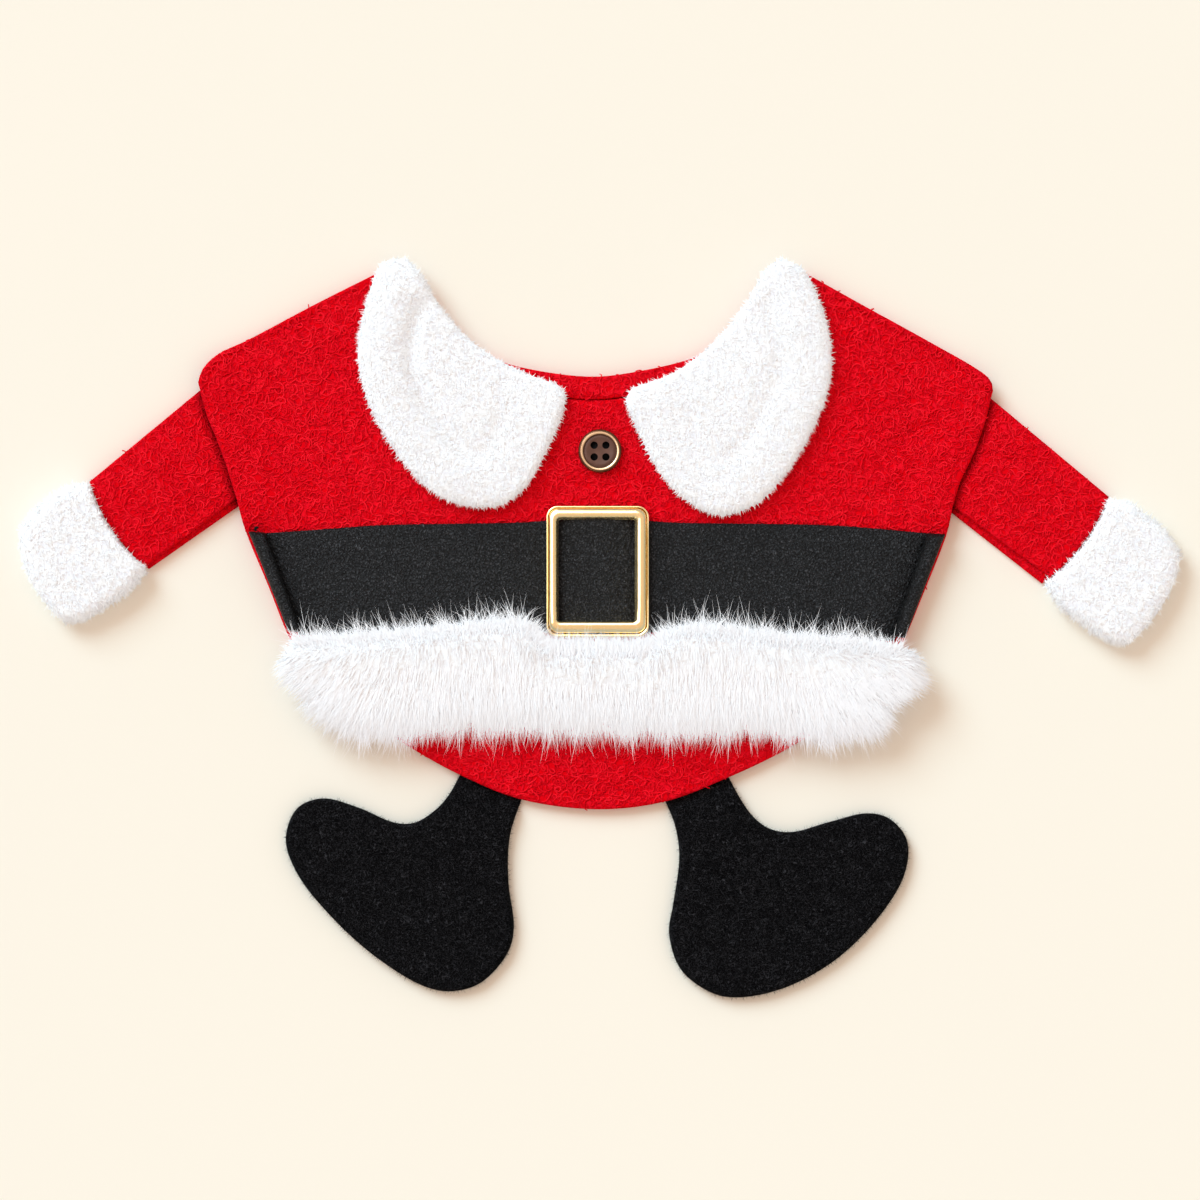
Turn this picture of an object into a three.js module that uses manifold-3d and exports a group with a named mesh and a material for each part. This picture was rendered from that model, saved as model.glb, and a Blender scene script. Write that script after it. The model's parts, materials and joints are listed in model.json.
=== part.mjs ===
// A pet's santa costume, laid flat on its back, in millimetres, +Z up.
// Red terry body and sleeves, white plush collar and cuffs, a black belt with a metal buckle,
// a long-haired white trim under the belt, and two black felt boots sewn under the belly.
// X runs across the costume, Y from the boots to the collar, and the floor is z = 0.
import * as THREE from "three";
import { mergeVertices } from "three/addons/utils/BufferGeometryUtils.js";
import Module from "manifold-3d";

const wasm = await Module();
wasm.setup();

// ---------------------------------------------------------------- driving sizes

const GAP = 0.3; // between two pieces at a seam, and between a piece and what it lies on

const TERRY = 2.0; // wall of the red cloth
const PUFF = 0.9; // how far the front panel stands off the back panel, away from its edges
const PUFF_REACH = 14; // distance from the edge at which it has risen fully
const TUCK = 5.5; // sleeve root under the front panel's armhole edge
const BOOT_TUCK = 4; // boot top under the belly edge
const TUCK_FADE = 11; // distance over which the front panel comes down from a sleeve root

const BAND_WIDTH = 8; // neck band
const BAND_CROWN = 0.35; // how far the band's middle stands above the cloth beside it

const COLLAR = { wall: 4.2, roll: 1.5, rollWidth: 16, trough: 1.1, edge: 3.4 };
const BELT_WALL = 1.2;
const BELT_EASE = 0.25; // how loosely the belt lies on the front panel
const BELT_END = { wall: 3.0, edge: 2.4 };
const FUR = { wall: 12.5, edge: 8, below: 0.42 };
const BOOT = { wall: 4.6, top: 1.9, edge: 1.8, slope: 7 };
const CUFF = { wall: 4.1, slit: 0.8 };

const BUTTON = { x: 0.5, y: 61.8, radius: 7.5, height: 3, holeRadius: 1.3, holeReach: 2.05 };

const BUCKLE = {
  outer: { left: -18.2, right: 17.6, low: -3.2, high: 42.7, corner: 4 },
  inner: { left: -13.9, right: 12.6, low: 2.6, high: 37.8, corner: 0.8 },
  barHalfWidth: 1.6,
  barHeight: 1.5,
};

// The body's outline, as runs from the left shoulder round the belly to the right shoulder.
const SHOULDER_LEFT = [[-76.9, 124.3], [-99, 113.2], [-122.4, 100.8], [-133.2, 95.6], [-138.5, 90], [-139.8, 85.8]];
const ARMHOLE_LEFT = [[-139.8, 85.8], [-137.1, 75.3], [-133.6, 66.5], [-130.8, 59.2], [-126.2, 44.5]];
const SIDE_LEFT = [[-126.2, 44.5], [-123.3, 34], [-115.9, 16], [-105.9, -7.7], [-97.6, -18.6], [-83.5, -29.9]];
const BELLY = [[-83.5, -29.9], [-65.3, -42], [-48.2, -51.4], [-27.2, -59.8], [0, -63.3], [23.6, -60.5], [44.6, -52.5],
  [63.8, -43.4], [84.1, -31.2]];
const SIDE_RIGHT = [[84.1, -31.2], [97.5, -19.8], [105.4, -7], [113.5, 12], [121.6, 32.9], [123.7, 42.7]];
const ARMHOLE_RIGHT = [[123.7, 42.7], [126.5, 51.5], [130.7, 60.2], [134.9, 71.8], [137.7, 83]];
const SHOULDER_RIGHT = [[137.7, 83], [136.9, 86.5], [131.7, 90.8], [115.6, 100.1], [94, 112], [72.6, 123.9]];
const NECKLINE = [[64, 123], [54.2, 112.4], [43.4, 99.6], [33.6, 94.6], [14.1, 89.8], [-2.3, 87.9], [-24.4, 90.6],
  [-36.6, 94], [-45.4, 98.2], [-57.4, 111.6], [-66.5, 123.5]];

// Soft creases in the front panel, from the armholes towards the belt.
const CREASES = [
  { from: [-126, 79], to: [-88, 45], halfWidth: 7, depth: 0.75 },
  { from: [-120, 57], to: [-99, 42], halfWidth: 5, depth: 0.4 },
  { from: [118, 73], to: [89, 50], halfWidth: 7, depth: 0.75 },
  { from: [112, 54], to: [92, 41], halfWidth: 5, depth: 0.5 },
];

// The collar halves: the outer edge from the shoulder tip to the front corner, then the inner edge back.
const COLLAR_LEFT = {
  edge: [[-67.4, 129.2], [-75.5, 127.1], [-80.6, 114.5], [-83.9, 99.1], [-82.8, 87], [-77.2, 72], [-67.4, 57.1],
    [-58, 47.7], [-47.5, 43.1], [-34.2, 43.1], [-25, 50], [-18.1, 62.3], [-12.5, 75.5], [-11.8, 82], [-14.6, 85.1]],
  inner: [[-14.6, 85.1], [-28.6, 90.3], [-44, 99.8], [-55.9, 113.1], [-62.2, 124], [-67.4, 129.2]],
  spine: [[-72, 118], [-68, 98], [-58, 77], [-40, 61], [-27, 70]],
  rollShare: 1,
};
const COLLAR_RIGHT = {
  edge: [[63.8, 129.2], [71.2, 125.3], [77.4, 112.8], [81, 98], [80.3, 84.5], [75, 70.4], [64.5, 52.9],
    [54.5, 43.2], [41.8, 39.6], [30, 45.2], [20.1, 56.4], [14, 68.5], [9.6, 79.8], [11.7, 83.7]],
  inner: [[11.7, 83.7], [27.1, 89.6], [41.8, 101.2], [52.3, 114.5], [58.4, 125], [63.8, 129.2]],
  spine: [[69, 118], [66, 98], [56, 76], [39, 59], [24, 70]],
  rollShare: 0.45,
};

// A cuff is a flat tube. It starts at the sleeve's end, at base, and runs the way that its heading gives.
// Its seam bows out by bow, and its mouth falls back by drop towards the corners, least at skew.
const CUFF_LEFT = {
  base: [-167.9, 35.7], heading: [-25.9, -17.5], length: 36, seamHalf: 18.7, half: 21.2, bow: 3, skew: 4, drop: 15,
};
const CUFF_RIGHT = {
  base: [167, 30.5], heading: [23.5, -18], length: 37.4, seamHalf: 19.4, half: 21.9, bow: 2.8, skew: -5, drop: 13,
};

// How far the sleeve's front layer stops short of the back layer's lower edge, at the body and at the cuff.
const SLEEVE_LEFT = { nearBody: 2.8, nearCuff: 1.2 };
const SLEEVE_RIGHT = { nearBody: 1.8, nearCuff: 3.4 };

// The belt's upper and lower edges, on each side of the buckle, from its left end to its right end.
const BELT_EDGES = [
  { top: [[-115.3, 33.2], [-92.6, 34.8], [-77.9, 35.9], [-16, 37.2]], low: [[-102.4, -1.2], [-60, 2.2], [-16, 3.2]] },
  { top: [[14.7, 37.1], [78.5, 36], [96.7, 34.8], [113.6, 33.2]], low: [[14.7, 3.1], [60, 1.4], [101.4, -2.6]] },
];
const BELT_END_LEFT = [[-122.2, 33.8], [-116.3, 33.4], [-103.3, -1.6], [-108.4, -1]];
const BELT_END_RIGHT = [[121, 32.8], [114.6, 33.2], [102.3, -3], [107, -3.4]];

const FUR_TOP = [[-108, -2.6], [-92.6, -1.6], [-63.2, 0.6], [-40.8, 2.9], [-25, 3.2], [-20.5, -2], [-17.5, -4.2],
  [0, -4.6], [17, -4.4], [20.4, -2.4], [28.5, 1.4], [42.8, 1.6], [64.2, -1.2], [85.5, -2.6], [106.2, -4.9]];
const FUR_RIGHT = [[106.2, -4.9], [112.6, -7.3], [115.6, -14], [114.2, -21], [109, -30.4], [103.4, -38.8], [95, -43.7]];
const FUR_LOW = [[95, -43.7], [78.5, -45.3], [60, -42], [28, -42.2], [-10, -41.4], [-42, -40], [-66.7, -43],
  [-81.4, -43], [-92.6, -40.2]];
const FUR_LEFT = [[-92.6, -40.2], [-103.5, -35], [-108, -27.6], [-111.9, -18.2], [-113.3, -9.4], [-108, -2.6]];

const BOOT_LEFT = {
  edge: [[-46.8, -48.2], [-52.7, -58.8], [-57.6, -64], [-64.6, -68.1], [-71.6, -67.9], [-84, -62.7], [-96.5, -59.5],
    [-105.3, -62.9], [-109.4, -73.5], [-105.5, -85.6], [-92.6, -101.8], [-76.8, -115.8], [-60.8, -125.3],
    [-51.3, -127], [-41.2, -124], [-31.8, -113.6], [-29.6, -105], [-31.5, -88.5], [-31, -72.8], [-25.8, -56.6]],
  spine: [[-38, -66], [-44, -92], [-48, -105], [-70, -92], [-92, -76]],
};
const BOOT_RIGHT = {
  edge: [[21.9, -57.4], [26.7, -68.9], [28.2, -80], [26, -96.9], [24.6, -106.4], [28.8, -119.4], [40, -127.7],
    [49.5, -129.1], [65.5, -125.6], [83.1, -115.8], [98.8, -100], [107.2, -85.4], [107.8, -74], [101.6, -66.5],
    [93.9, -64.7], [80.5, -67.8], [67.3, -71.3], [59.6, -70], [54, -65.8], [49.5, -59.5], [43.9, -49]],
  spine: [[36, -66], [44, -92], [46, -108], [70, -95], [92, -79]],
};

const COLOURS = {
  terry: { color: 0xdd0a1c, roughness: 0.95, metalness: 0 },
  plush: { color: 0xf4f4fa, roughness: 1, metalness: 0 },
  fur: { color: 0xf5f3f4, roughness: 1, metalness: 0 },
  leather: { color: 0x2a2b2d, roughness: 0.5, metalness: 0 },
  felt: { color: 0x121214, roughness: 1, metalness: 0 },
  gold: { color: 0xe6c27a, roughness: 0.2, metalness: 1 },
  button: { color: 0x5a3a2a, roughness: 0.35, metalness: 0.2 },
};

// ---------------------------------------------------------------- lines on the floor plan

const clamp = (value) => Math.min(1, Math.max(0, value));

/** Rises from 0 to 1 as value goes from low to high, with no corner at either end. */
function ease(value, low, high) {
  const share = clamp((value - low) / (high - low));
  return share * share * (3 - 2 * share);
}

/** A smooth curve through a few points. */
const curveOf = (run) =>
  new THREE.CatmullRomCurve3(run.map(([x, y]) => new THREE.Vector3(x, y, 0)), false, "centripetal");

/** Equal steps of about `step` along a smooth curve through a few points, without its last point. */
function sampled(run, step) {
  const curve = curveOf(run);
  const count = Math.max(1, Math.round(curve.getLength() / step));
  return curve.getSpacedPoints(count).slice(0, -1).map(({ x, y }) => [x, y]);
}

/** A closed outline whose runs meet at corners. */
const outlineOf = (runs, step) => runs.flatMap((run) => sampled(run, step));

/** The same line moved sideways: distance to the left of its direction, which may change along it. */
function beside(line, distance, closed = false) {
  const last = line.length - 1;
  return line.map(([x, y], i) => {
    const before = line[i > 0 ? i - 1 : closed ? last : 0];
    const after = line[i < last ? i + 1 : closed ? 0 : last];
    const [dx, dy] = [after[0] - before[0], after[1] - before[1]];
    const length = Math.hypot(dx, dy);
    const far = typeof distance === "function" ? distance(i, [x, y]) : distance;
    return [x - (dy / length) * far, y + (dx / length) * far];
  });
}

/** The nearest point of a line to (x, y), and how far it is. */
function nearest(line, x, y) {
  let best = { distance: Infinity };
  for (let i = 0; i + 1 < line.length; i += 1) {
    const [[ax, ay], [bx, by]] = [line[i], line[i + 1]];
    const [dx, dy] = [bx - ax, by - ay];
    const share = clamp(((x - ax) * dx + (y - ay) * dy) / (dx * dx + dy * dy));
    const [px, py] = [ax + dx * share, ay + dy * share];
    const distance = Math.hypot(x - px, y - py);
    if (distance < best.distance) best = { x: px, y: py, distance, share: (i + share) / (line.length - 1) };
  }
  return best;
}

/** Whether (x, y) is inside a closed outline. */
function inside(outline, x, y) {
  let odd = false;
  outline.forEach(([ax, ay], i) => {
    const [bx, by] = outline[(i + 1) % outline.length];
    if (ay > y !== by > y && x < ax + ((bx - ax) * (y - ay)) / (by - ay)) odd = !odd;
  });
  return odd;
}

/** Distance in from a closed outline: above 0 inside it, below 0 outside. */
function depthIn(outline, x, y) {
  const { distance } = nearest([...outline, outline[0]], x, y);
  return inside(outline, x, y) ? distance : -distance;
}

// ---------------------------------------------------------------- solids

/** A closed, indexed mesh from its points and its faces, which are lists of three or four corners. */
function meshOf(points, faces) {
  const index = faces.flatMap(([a, b, c, d]) => (d === undefined ? [a, b, c] : [a, b, c, a, c, d]));
  const geometry = new THREE.BufferGeometry();
  geometry.setAttribute("position", new THREE.Float32BufferAttribute(points.flat(), 3));
  geometry.setIndex(index);
  geometry.computeVertexNormals();
  return geometry;
}

/** A solid through closed rings of points: back to the first ring, or with a flat cap at each end. */
function loft(rings, { closed }) {
  const rows = rings[0].length;
  const faces = [];
  const last = closed ? rings.length : rings.length - 1;
  for (let i = 0; i < last; i += 1) {
    const [a, b] = [i * rows, ((i + 1) % rings.length) * rows];
    for (let j = 0; j < rows; j += 1) {
      const k = (j + 1) % rows;
      faces.push([a + j, b + j, b + k, a + k]);
    }
  }
  if (!closed) {
    const end = last * rows;
    for (let j = 1; j + 1 < rows; j += 1) faces.push([0, j, j + 1], [end, end + j + 1, end + j]);
  }
  return meshOf(rings.flat(), faces);
}

/** 1 at an edge and 0 from `radius` in, falling as a quarter round. */
const rounded = (depth, radius) => 1 - Math.sqrt(1 - (1 - clamp(depth / radius)) ** 2);

/**
 * A piece of cloth: rings of points step in from its outline towards its spine, over it and under it.
 * under(x, y) is the height that it lies on, wall(x, y, depth) its thickness at a depth in from the
 * edge, edge the width of its rounded edge, and below the share of that round under the outline.
 * steps are the rings' distances from the edge, and shares are later rings on the way to the spine,
 * which a piece with a flat underside (flatBelow) needs on its upper side alone.
 */
function panel({ outline, spine, under, wall, edge, below = 0.5, steps, shares = [], flatBelow = false }) {
  const ring = THREE.ShapeUtils.isClockWise(outline.map(([x, y]) => new THREE.Vector2(x, y)))
    ? [...outline].reverse()
    : outline;
  const count = ring.length;
  const targets = ring.map(([x, y]) => {
    const found = spine.map((line) => nearest(line, x, y));
    return found.reduce((one, other) => (other.distance < one.distance ? other : one));
  });
  const farthest = steps[steps.length - 1];
  const NARROW = 0.8; // where the piece is narrow, its rings keep to this share of the way to the spine
  const SPINE_SHARE = 0.9; // and the last ring stops at this one
  const ZIGZAG = 0.95; // every other point of the last ring stops here, so that no three are in line
  const at = (i, distance, share, isLast) => {
    const [x, y] = ring[i];
    const { x: tx, y: ty, distance: reach } = targets[i];
    const scale = Math.min(1, (NARROW * reach) / farthest);
    const full = distance * scale + share * (SPINE_SHARE * reach - farthest * scale);
    const depth = isLast && i % 2 ? ZIGZAG * full : full;
    return [x + ((tx - x) * depth) / reach, y + ((ty - y) * depth) / reach, depth];
  };

  const points = [];
  const faces = [];
  const addRing = (heightAt, distance, share, isLast) => {
    for (let i = 0; i < count; i += 1) {
      const [x, y, depth] = at(i, distance, share, isLast);
      points.push([x, y, heightAt(x, y, depth)]);
    }
    return points.length - count;
  };
  const over = (x, y, depth) => under(x, y) + wall(x, y, depth) * (1 - (1 - below) * rounded(depth, edge));
  const beneath = (x, y, depth) => under(x, y) + wall(x, y, depth) * below * rounded(depth, edge);
  const join = (outer, inner, up) => {
    for (let i = 0; i < count; i += 1) {
      const j = (i + 1) % count;
      faces.push(up ? [outer + i, outer + j, inner + j, inner + i] : [inner + i, inner + j, outer + j, outer + i]);
    }
  };
  const cap = (start, up) => {
    const flat = points.slice(start, start + count).map(([x, y]) => new THREE.Vector2(x, y));
    for (const [a, b, c] of THREE.ShapeUtils.triangulateShape(flat, [])) {
      const [p, q, r] = [flat[a], flat[b], flat[c]];
      const turnsLeft = (q.x - p.x) * (r.y - p.y) - (q.y - p.y) * (r.x - p.x) > 0;
      faces.push(turnsLeft === up ? [start + a, start + b, start + c] : [start + a, start + c, start + b]);
    }
  };

  const rim = addRing(over, 0, 0, false);
  for (const up of [true, false]) {
    let last = rim;
    const rounds = steps.filter((step) => up || !flatBelow || step <= edge);
    const inward = up || !flatBelow ? shares : [];
    const rings = [...rounds.map((step) => [step, 0]), ...inward.map((share) => [farthest, share])];
    rings.forEach(([distance, share], k) => {
      const next = addRing(up ? over : beneath, distance, share, k === rings.length - 1);
      join(last, next, up);
      last = next;
    });
    cap(last, up);
  }
  return meshOf(points, faces);
}

/** A manifold-3d solid of a closed geometry. */
function solidOf(geometry) {
  const bare = new THREE.BufferGeometry();
  const source = geometry.index ? geometry.toNonIndexed() : geometry;
  bare.setAttribute("position", source.getAttribute("position"));
  const merged = mergeVertices(bare, 1e-4);
  return new wasm.Manifold(
    new wasm.Mesh({
      numProp: 3,
      vertProperties: merged.attributes.position.array,
      triVerts: new Uint32Array(merged.index.array),
    }),
  );
}

/** The geometry of a manifold-3d solid. */
function geometryOf(solid) {
  const { vertProperties, triVerts } = solid.getMesh();
  const geometry = new THREE.BufferGeometry();
  geometry.setAttribute("position", new THREE.Float32BufferAttribute(vertProperties, 3));
  geometry.setIndex([...triVerts]);
  geometry.computeVertexNormals();
  return geometry;
}

// ---------------------------------------------------------------- how the layers lie

const BODY_STEP = 9;
const bodyRuns = [SHOULDER_LEFT, ARMHOLE_LEFT, SIDE_LEFT, BELLY, SIDE_RIGHT, ARMHOLE_RIGHT, SHOULDER_RIGHT];
const bodyOutline = outlineOf([...bodyRuns, [SHOULDER_RIGHT.at(-1), NECKLINE[0]], NECKLINE,
  [NECKLINE.at(-1), SHOULDER_LEFT[0]]], BODY_STEP);
const BODY_SPINE = [
  [[-84, 112], [-104, 84], [-92, 40], [-50, 2], [0, -12], [50, 2], [90, 40], [102, 84], [80, 112]],
  [[0, -12], [0, 55]],
];
const BACK_TOP = TERRY;

/** The underside of the front panel: just over the back panel, and lifted by the sleeve roots. */
function frontUnder(x, y) {
  const rise = PUFF * ease(depthIn(bodyOutline, x, y), 1, PUFF_REACH);
  const armhole = Math.min(nearest(ARMHOLE_LEFT, x, y).distance, nearest(ARMHOLE_RIGHT, x, y).distance);
  const lift = (TERRY + GAP) * (1 - ease(armhole, TUCK, TUCK + TUCK_FADE));
  let fold = 0;
  for (const { from, to, halfWidth, depth } of CREASES) {
    const { distance, share } = nearest([from, to], x, y);
    const along = ease(share, 0, 0.3) * ease(1 - share, 0, 0.3);
    fold += depth * along * (1 - ease(distance, 0, halfWidth));
  }
  return BACK_TOP + GAP + lift + rise - Math.min(fold, rise);
}

/** What lies on the front panel starts here. */
const onFront = (x, y) => frontUnder(x, y) + TERRY + GAP;

/** The belt and its ends lie a little looser. */
const onBelt = (x, y) => onFront(x, y) + BELT_EASE;

const floor = () => 0;

// ---------------------------------------------------------------- the pieces

const neckline = [...sampled(NECKLINE, 7), NECKLINE.at(-1)];
const bandSeam = beside(neckline, BAND_WIDTH + GAP);

function frontPanel() {
  const outline = [...outlineOf(bodyRuns, BODY_STEP), SHOULDER_RIGHT.at(-1), ...bandSeam];
  return panel({
    outline,
    spine: BODY_SPINE,
    under: frontUnder,
    wall: () => TERRY,
    edge: 1.2,
    steps: [0.3, 1.2, 5, 10, 16],
    shares: [0.4, 1],
  });
}

/** The line that a sleeve's root and the back panel's armhole share, a distance in from the armhole. */
const armholeLine = (armhole, inset) => beside([...sampled(armhole, 7), armhole.at(-1)], inset);

function backPanel() {
  const belly = [...sampled(BELLY, BODY_STEP), BELLY.at(-1)];
  const outline = [
    ...sampled(SHOULDER_LEFT, BODY_STEP),
    ...armholeLine(ARMHOLE_LEFT, TUCK + GAP),
    ...sampled(SIDE_LEFT, BODY_STEP).slice(1),
    ...beside(belly, BOOT_TUCK + GAP).slice(1, -1),
    ...sampled(SIDE_RIGHT, BODY_STEP),
    ...armholeLine(ARMHOLE_RIGHT, TUCK + GAP),
    ...sampled(SHOULDER_RIGHT, BODY_STEP).slice(1),
    SHOULDER_RIGHT.at(-1),
    ...neckline,
  ];
  return panel({
    outline,
    spine: BODY_SPINE,
    under: floor,
    wall: () => BACK_TOP,
    edge: 1,
    steps: [0.3, 1],
  });
}

function neckBand() {
  return panel({
    outline: [...neckline, ...beside(neckline, BAND_WIDTH).reverse()],
    spine: [beside(neckline, BAND_WIDTH / 2)],
    under: frontUnder,
    wall: (x, y, depth) => TERRY + BAND_CROWN * ease(depth, 0, BAND_WIDTH / 2),
    edge: 1.2,
    steps: [0.3, 1.2, 2.6],
  });
}

function collar({ edge, inner, spine, rollShare }) {
  const { wall, roll, rollWidth, trough } = COLLAR;
  return panel({
    outline: outlineOf([edge, inner], 7),
    spine: [spine],
    under: (x, y) => onFront(x, y) + BAND_CROWN,
    wall: (x, y, depth) => {
      const outer = nearest(edge, x, y).distance;
      const hill = roll * Math.sin(Math.PI * clamp(outer / rollWidth)) ** 2;
      const ditch = trough * (1 - ease(Math.abs(outer - rollWidth), 0, rollWidth / 3));
      return wall + rollShare * (hill - ditch * ease(depth, 1, 6));
    },
    edge: COLLAR.edge,
    steps: [0.7, 2, 4.5, 8, 12, 16],
    shares: [0.55],
    below: 0.4,
  });
}

/** Where a cuff's points lie: along its heading from the seam, and across it. */
function cuffFrame({ base, heading }) {
  const length = Math.hypot(...heading);
  const [ux, uy] = heading.map((part) => part / length);
  return (along, across) => [base[0] + ux * along - uy * across, base[1] + uy * along + ux * across];
}

/** How far the seam with the sleeve bows out, at a distance across it. */
const seamBow = ({ bow, seamHalf }, across) => bow * (1 - Math.min(1, (across / seamHalf) ** 2));

/** A flat tube with an open mouth: the wall's section is carried round the two folded sides. */
function cuff(shape) {
  const place = cuffFrame(shape);
  const { length, seamHalf, half, skew, drop } = shape;
  const { wall, slit } = CUFF;
  const [inner, outer] = [slit / 2, slit / 2 + wall];
  const ROUND = 5; // steps round each folded side
  const FLAT = 6; // steps across each flat side
  const around = [];
  for (const side of [1, -1]) {
    for (let i = 0; i < ROUND; i += 1) around.push({ turn: side * Math.PI * (i / ROUND - 0.5), flat: side });
    for (let i = 0; i < FLAT; i += 1) around.push({ turn: (side * Math.PI) / 2, flat: side * (1 - (2 * i) / FLAT) });
  }
  const section = [
    { share: 0.02, radius: inner + 0.5 },
    { share: 0, radius: inner + 0.4 * wall },
    { share: 0.03, radius: outer - 0.6 },
    { share: 0.14, radius: outer },
    { share: 0.5, radius: outer },
    { share: 0.8, radius: outer },
    { share: 0.95, radius: outer - 0.7 },
    { share: 1, radius: outer - 2 },
    { share: 0.97, radius: inner + 0.5 },
    { share: 0.9, radius: inner },
    { share: 0.5, radius: inner },
    { share: 0.1, radius: inner },
  ];
  return loft(around.map(({ turn, flat }) => section.map(({ share, radius }) => {
    const swell = seamHalf + (half - seamHalf) * ease(share, 0, 0.3) - 0.08 * half * ease(share, 0.75, 1);
    const across = flat * (swell - outer) + Math.cos(turn) * radius * Math.sign(flat);
    const lean = clamp(Math.abs(across - skew) / (half + Math.abs(skew)));
    const end = length - drop * (1 - Math.sqrt(1 - lean ** 2));
    const start = seamBow(shape, across);
    return [...place(start + (end - start) * share, across), outer + Math.sin(turn) * radius];
  })), { closed: true });
}

function buttonSolid() {
  const { radius, height, holeRadius, holeReach } = BUTTON;
  const profile = [[0, 0], [radius - 1.6, 0], [radius - 0.3, 0.8], [radius, 1.6], [radius - 0.3, 2.5],
    [radius - 1.1, height], [radius - 1.8, height - 0.2], [radius - 2.3, height - 0.9], [0, height - 1.2]];
  const turned = new THREE.LatheGeometry(profile.map(([r, z]) => new THREE.Vector2(r, z)), 36);
  turned.rotateX(Math.PI / 2);
  let solid = solidOf(turned);
  for (const [sx, sy] of [[1, 1], [1, -1], [-1, 1], [-1, -1]]) {
    const drill = new THREE.CylinderGeometry(holeRadius, holeRadius, 3 * height, 12);
    drill.rotateX(Math.PI / 2).translate(sx * holeReach, sy * holeReach, 0);
    solid = solid.subtract(solidOf(drill));
  }
  return geometryOf(solid).translate(BUTTON.x, BUTTON.y, onFront(BUTTON.x, BUTTON.y));
}

const buckleSeat = onBelt(0, 20);
const buckleBase = buckleSeat + BELT_WALL + GAP;

/** A closed rectangle with round corners, with `steps` points to a corner. */
function roundedRectangle({ left, right, low, high, corner }, steps) {
  const corners = [[right, high, 0], [left, high, 1], [left, low, 2], [right, low, 3]];
  return corners.flatMap(([x, y, quarter]) => Array.from({ length: steps }, (_, i) => {
    const turn = (quarter + i / (steps - 1)) * (Math.PI / 2);
    const [cx, cy] = [x - Math.sign(x) * corner, y - (y === high ? corner : -corner)];
    return [cx + corner * Math.cos(turn), cy + corner * Math.sin(turn)];
  }));
}

function buckle() {
  const outer = roundedRectangle(BUCKLE.outer, 6);
  const inner = roundedRectangle(BUCKLE.inner, 6);
  // The bar's section: share of the way from the outer to the inner edge, and height.
  const section = [[0.08, 0], [0, 0.6], [0, 1.5], [0.07, 2], [0.14, 1.6], [0.22, 2.6], [0.5, 3.3], [0.82, 3],
    [1, 1.8], [1, 0.5], [0.92, 0]];
  const frame = loft(outer.map(([x, y], i) => section.map(([share, height]) => [
    x + (inner[i][0] - x) * share,
    y + (inner[i][1] - y) * share,
    buckleBase + height,
  ])), { closed: true });
  const { barHalfWidth, barHeight } = BUCKLE;
  const [low, high] = [(BUCKLE.outer.low + BUCKLE.inner.low) / 2, (BUCKLE.outer.high + BUCKLE.inner.high) / 2];
  const bar = new THREE.BoxGeometry(2 * barHalfWidth, high - low, barHeight + GAP);
  bar.translate(0, (low + high) / 2, buckleSeat + (barHeight + GAP) / 2);
  return geometryOf(solidOf(frame).add(solidOf(bar)));
}

/** The belt lies on the front panel, and goes under the buckle's sides and over its centre bar. */
function belt() {
  const [left, right] = [BUCKLE.inner.left + 0.6, BUCKLE.inner.right - 0.6];
  const rise = BUCKLE.barHeight + 3 * GAP;
  const hump = (x) => rise * clamp(1 - ((2 * x - left - right) / (right - left)) ** 2) ** 0.75;
  const [SIDE_STATIONS, HUMP_STATIONS] = [9, 14];
  const along = (run) => curveOf(run).getSpacedPoints(SIDE_STATIONS).map(({ x, y }) => [x, y]);
  const [before, after] = BELT_EDGES.map(({ top, low }) => {
    const [tops, lows] = [along(top), along(low)];
    return tops.map((point, i) => [point, lows[i]]);
  });
  const [from, to] = [before.at(-1), after[0]];
  const middle = Array.from({ length: HUMP_STATIONS - 1 }, (_, i) => {
    const share = (i + 1) / HUMP_STATIONS;
    return [0, 1].map((edge) => [
      from[edge][0] + (to[edge][0] - from[edge][0]) * share,
      from[edge][1] + (to[edge][1] - from[edge][1]) * share,
    ]);
  });
  const shares = [0.012, 0.14, 0.33, 0.5, 0.67, 0.86, 0.988];
  const rim = BELT_WALL / 2;
  return loft([...before, ...middle, ...after].map(([top, low]) => {
    const at = (share, lift) => {
      const [x, y] = [low[0] + (top[0] - low[0]) * share, low[1] + (top[1] - low[1]) * share];
      return [x, y, onBelt(x, y) + hump(x) + lift];
    };
    return [at(0, rim), ...shares.map((share) => at(share, BELT_WALL)), at(1, rim),
      ...[...shares].reverse().map((share) => at(share, 0))];
  }), { closed: false });
}

function beltEnd([outerTop, innerTop, innerLow, outerLow]) {
  const middle = (a, b) => [(a[0] + b[0]) / 2, (a[1] + b[1]) / 2];
  const [top, low] = [middle(outerTop, innerTop), middle(outerLow, innerLow)];
  const inward = (from, to) => [from[0] + (to[0] - from[0]) * 0.07, from[1] + (to[1] - from[1]) * 0.07];
  return panel({
    outline: outlineOf([[outerTop, innerTop], [innerTop, innerLow], [innerLow, outerLow], [outerLow, outerTop]], 5.5),
    spine: [[inward(top, low), inward(low, top)]],
    under: onBelt,
    wall: () => BELT_END.wall,
    edge: BELT_END.edge,
    steps: [0.5, 1.3, 2.2],
    below: 0.35,
  });
}

const furSeat = onFront(0, -20);

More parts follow.
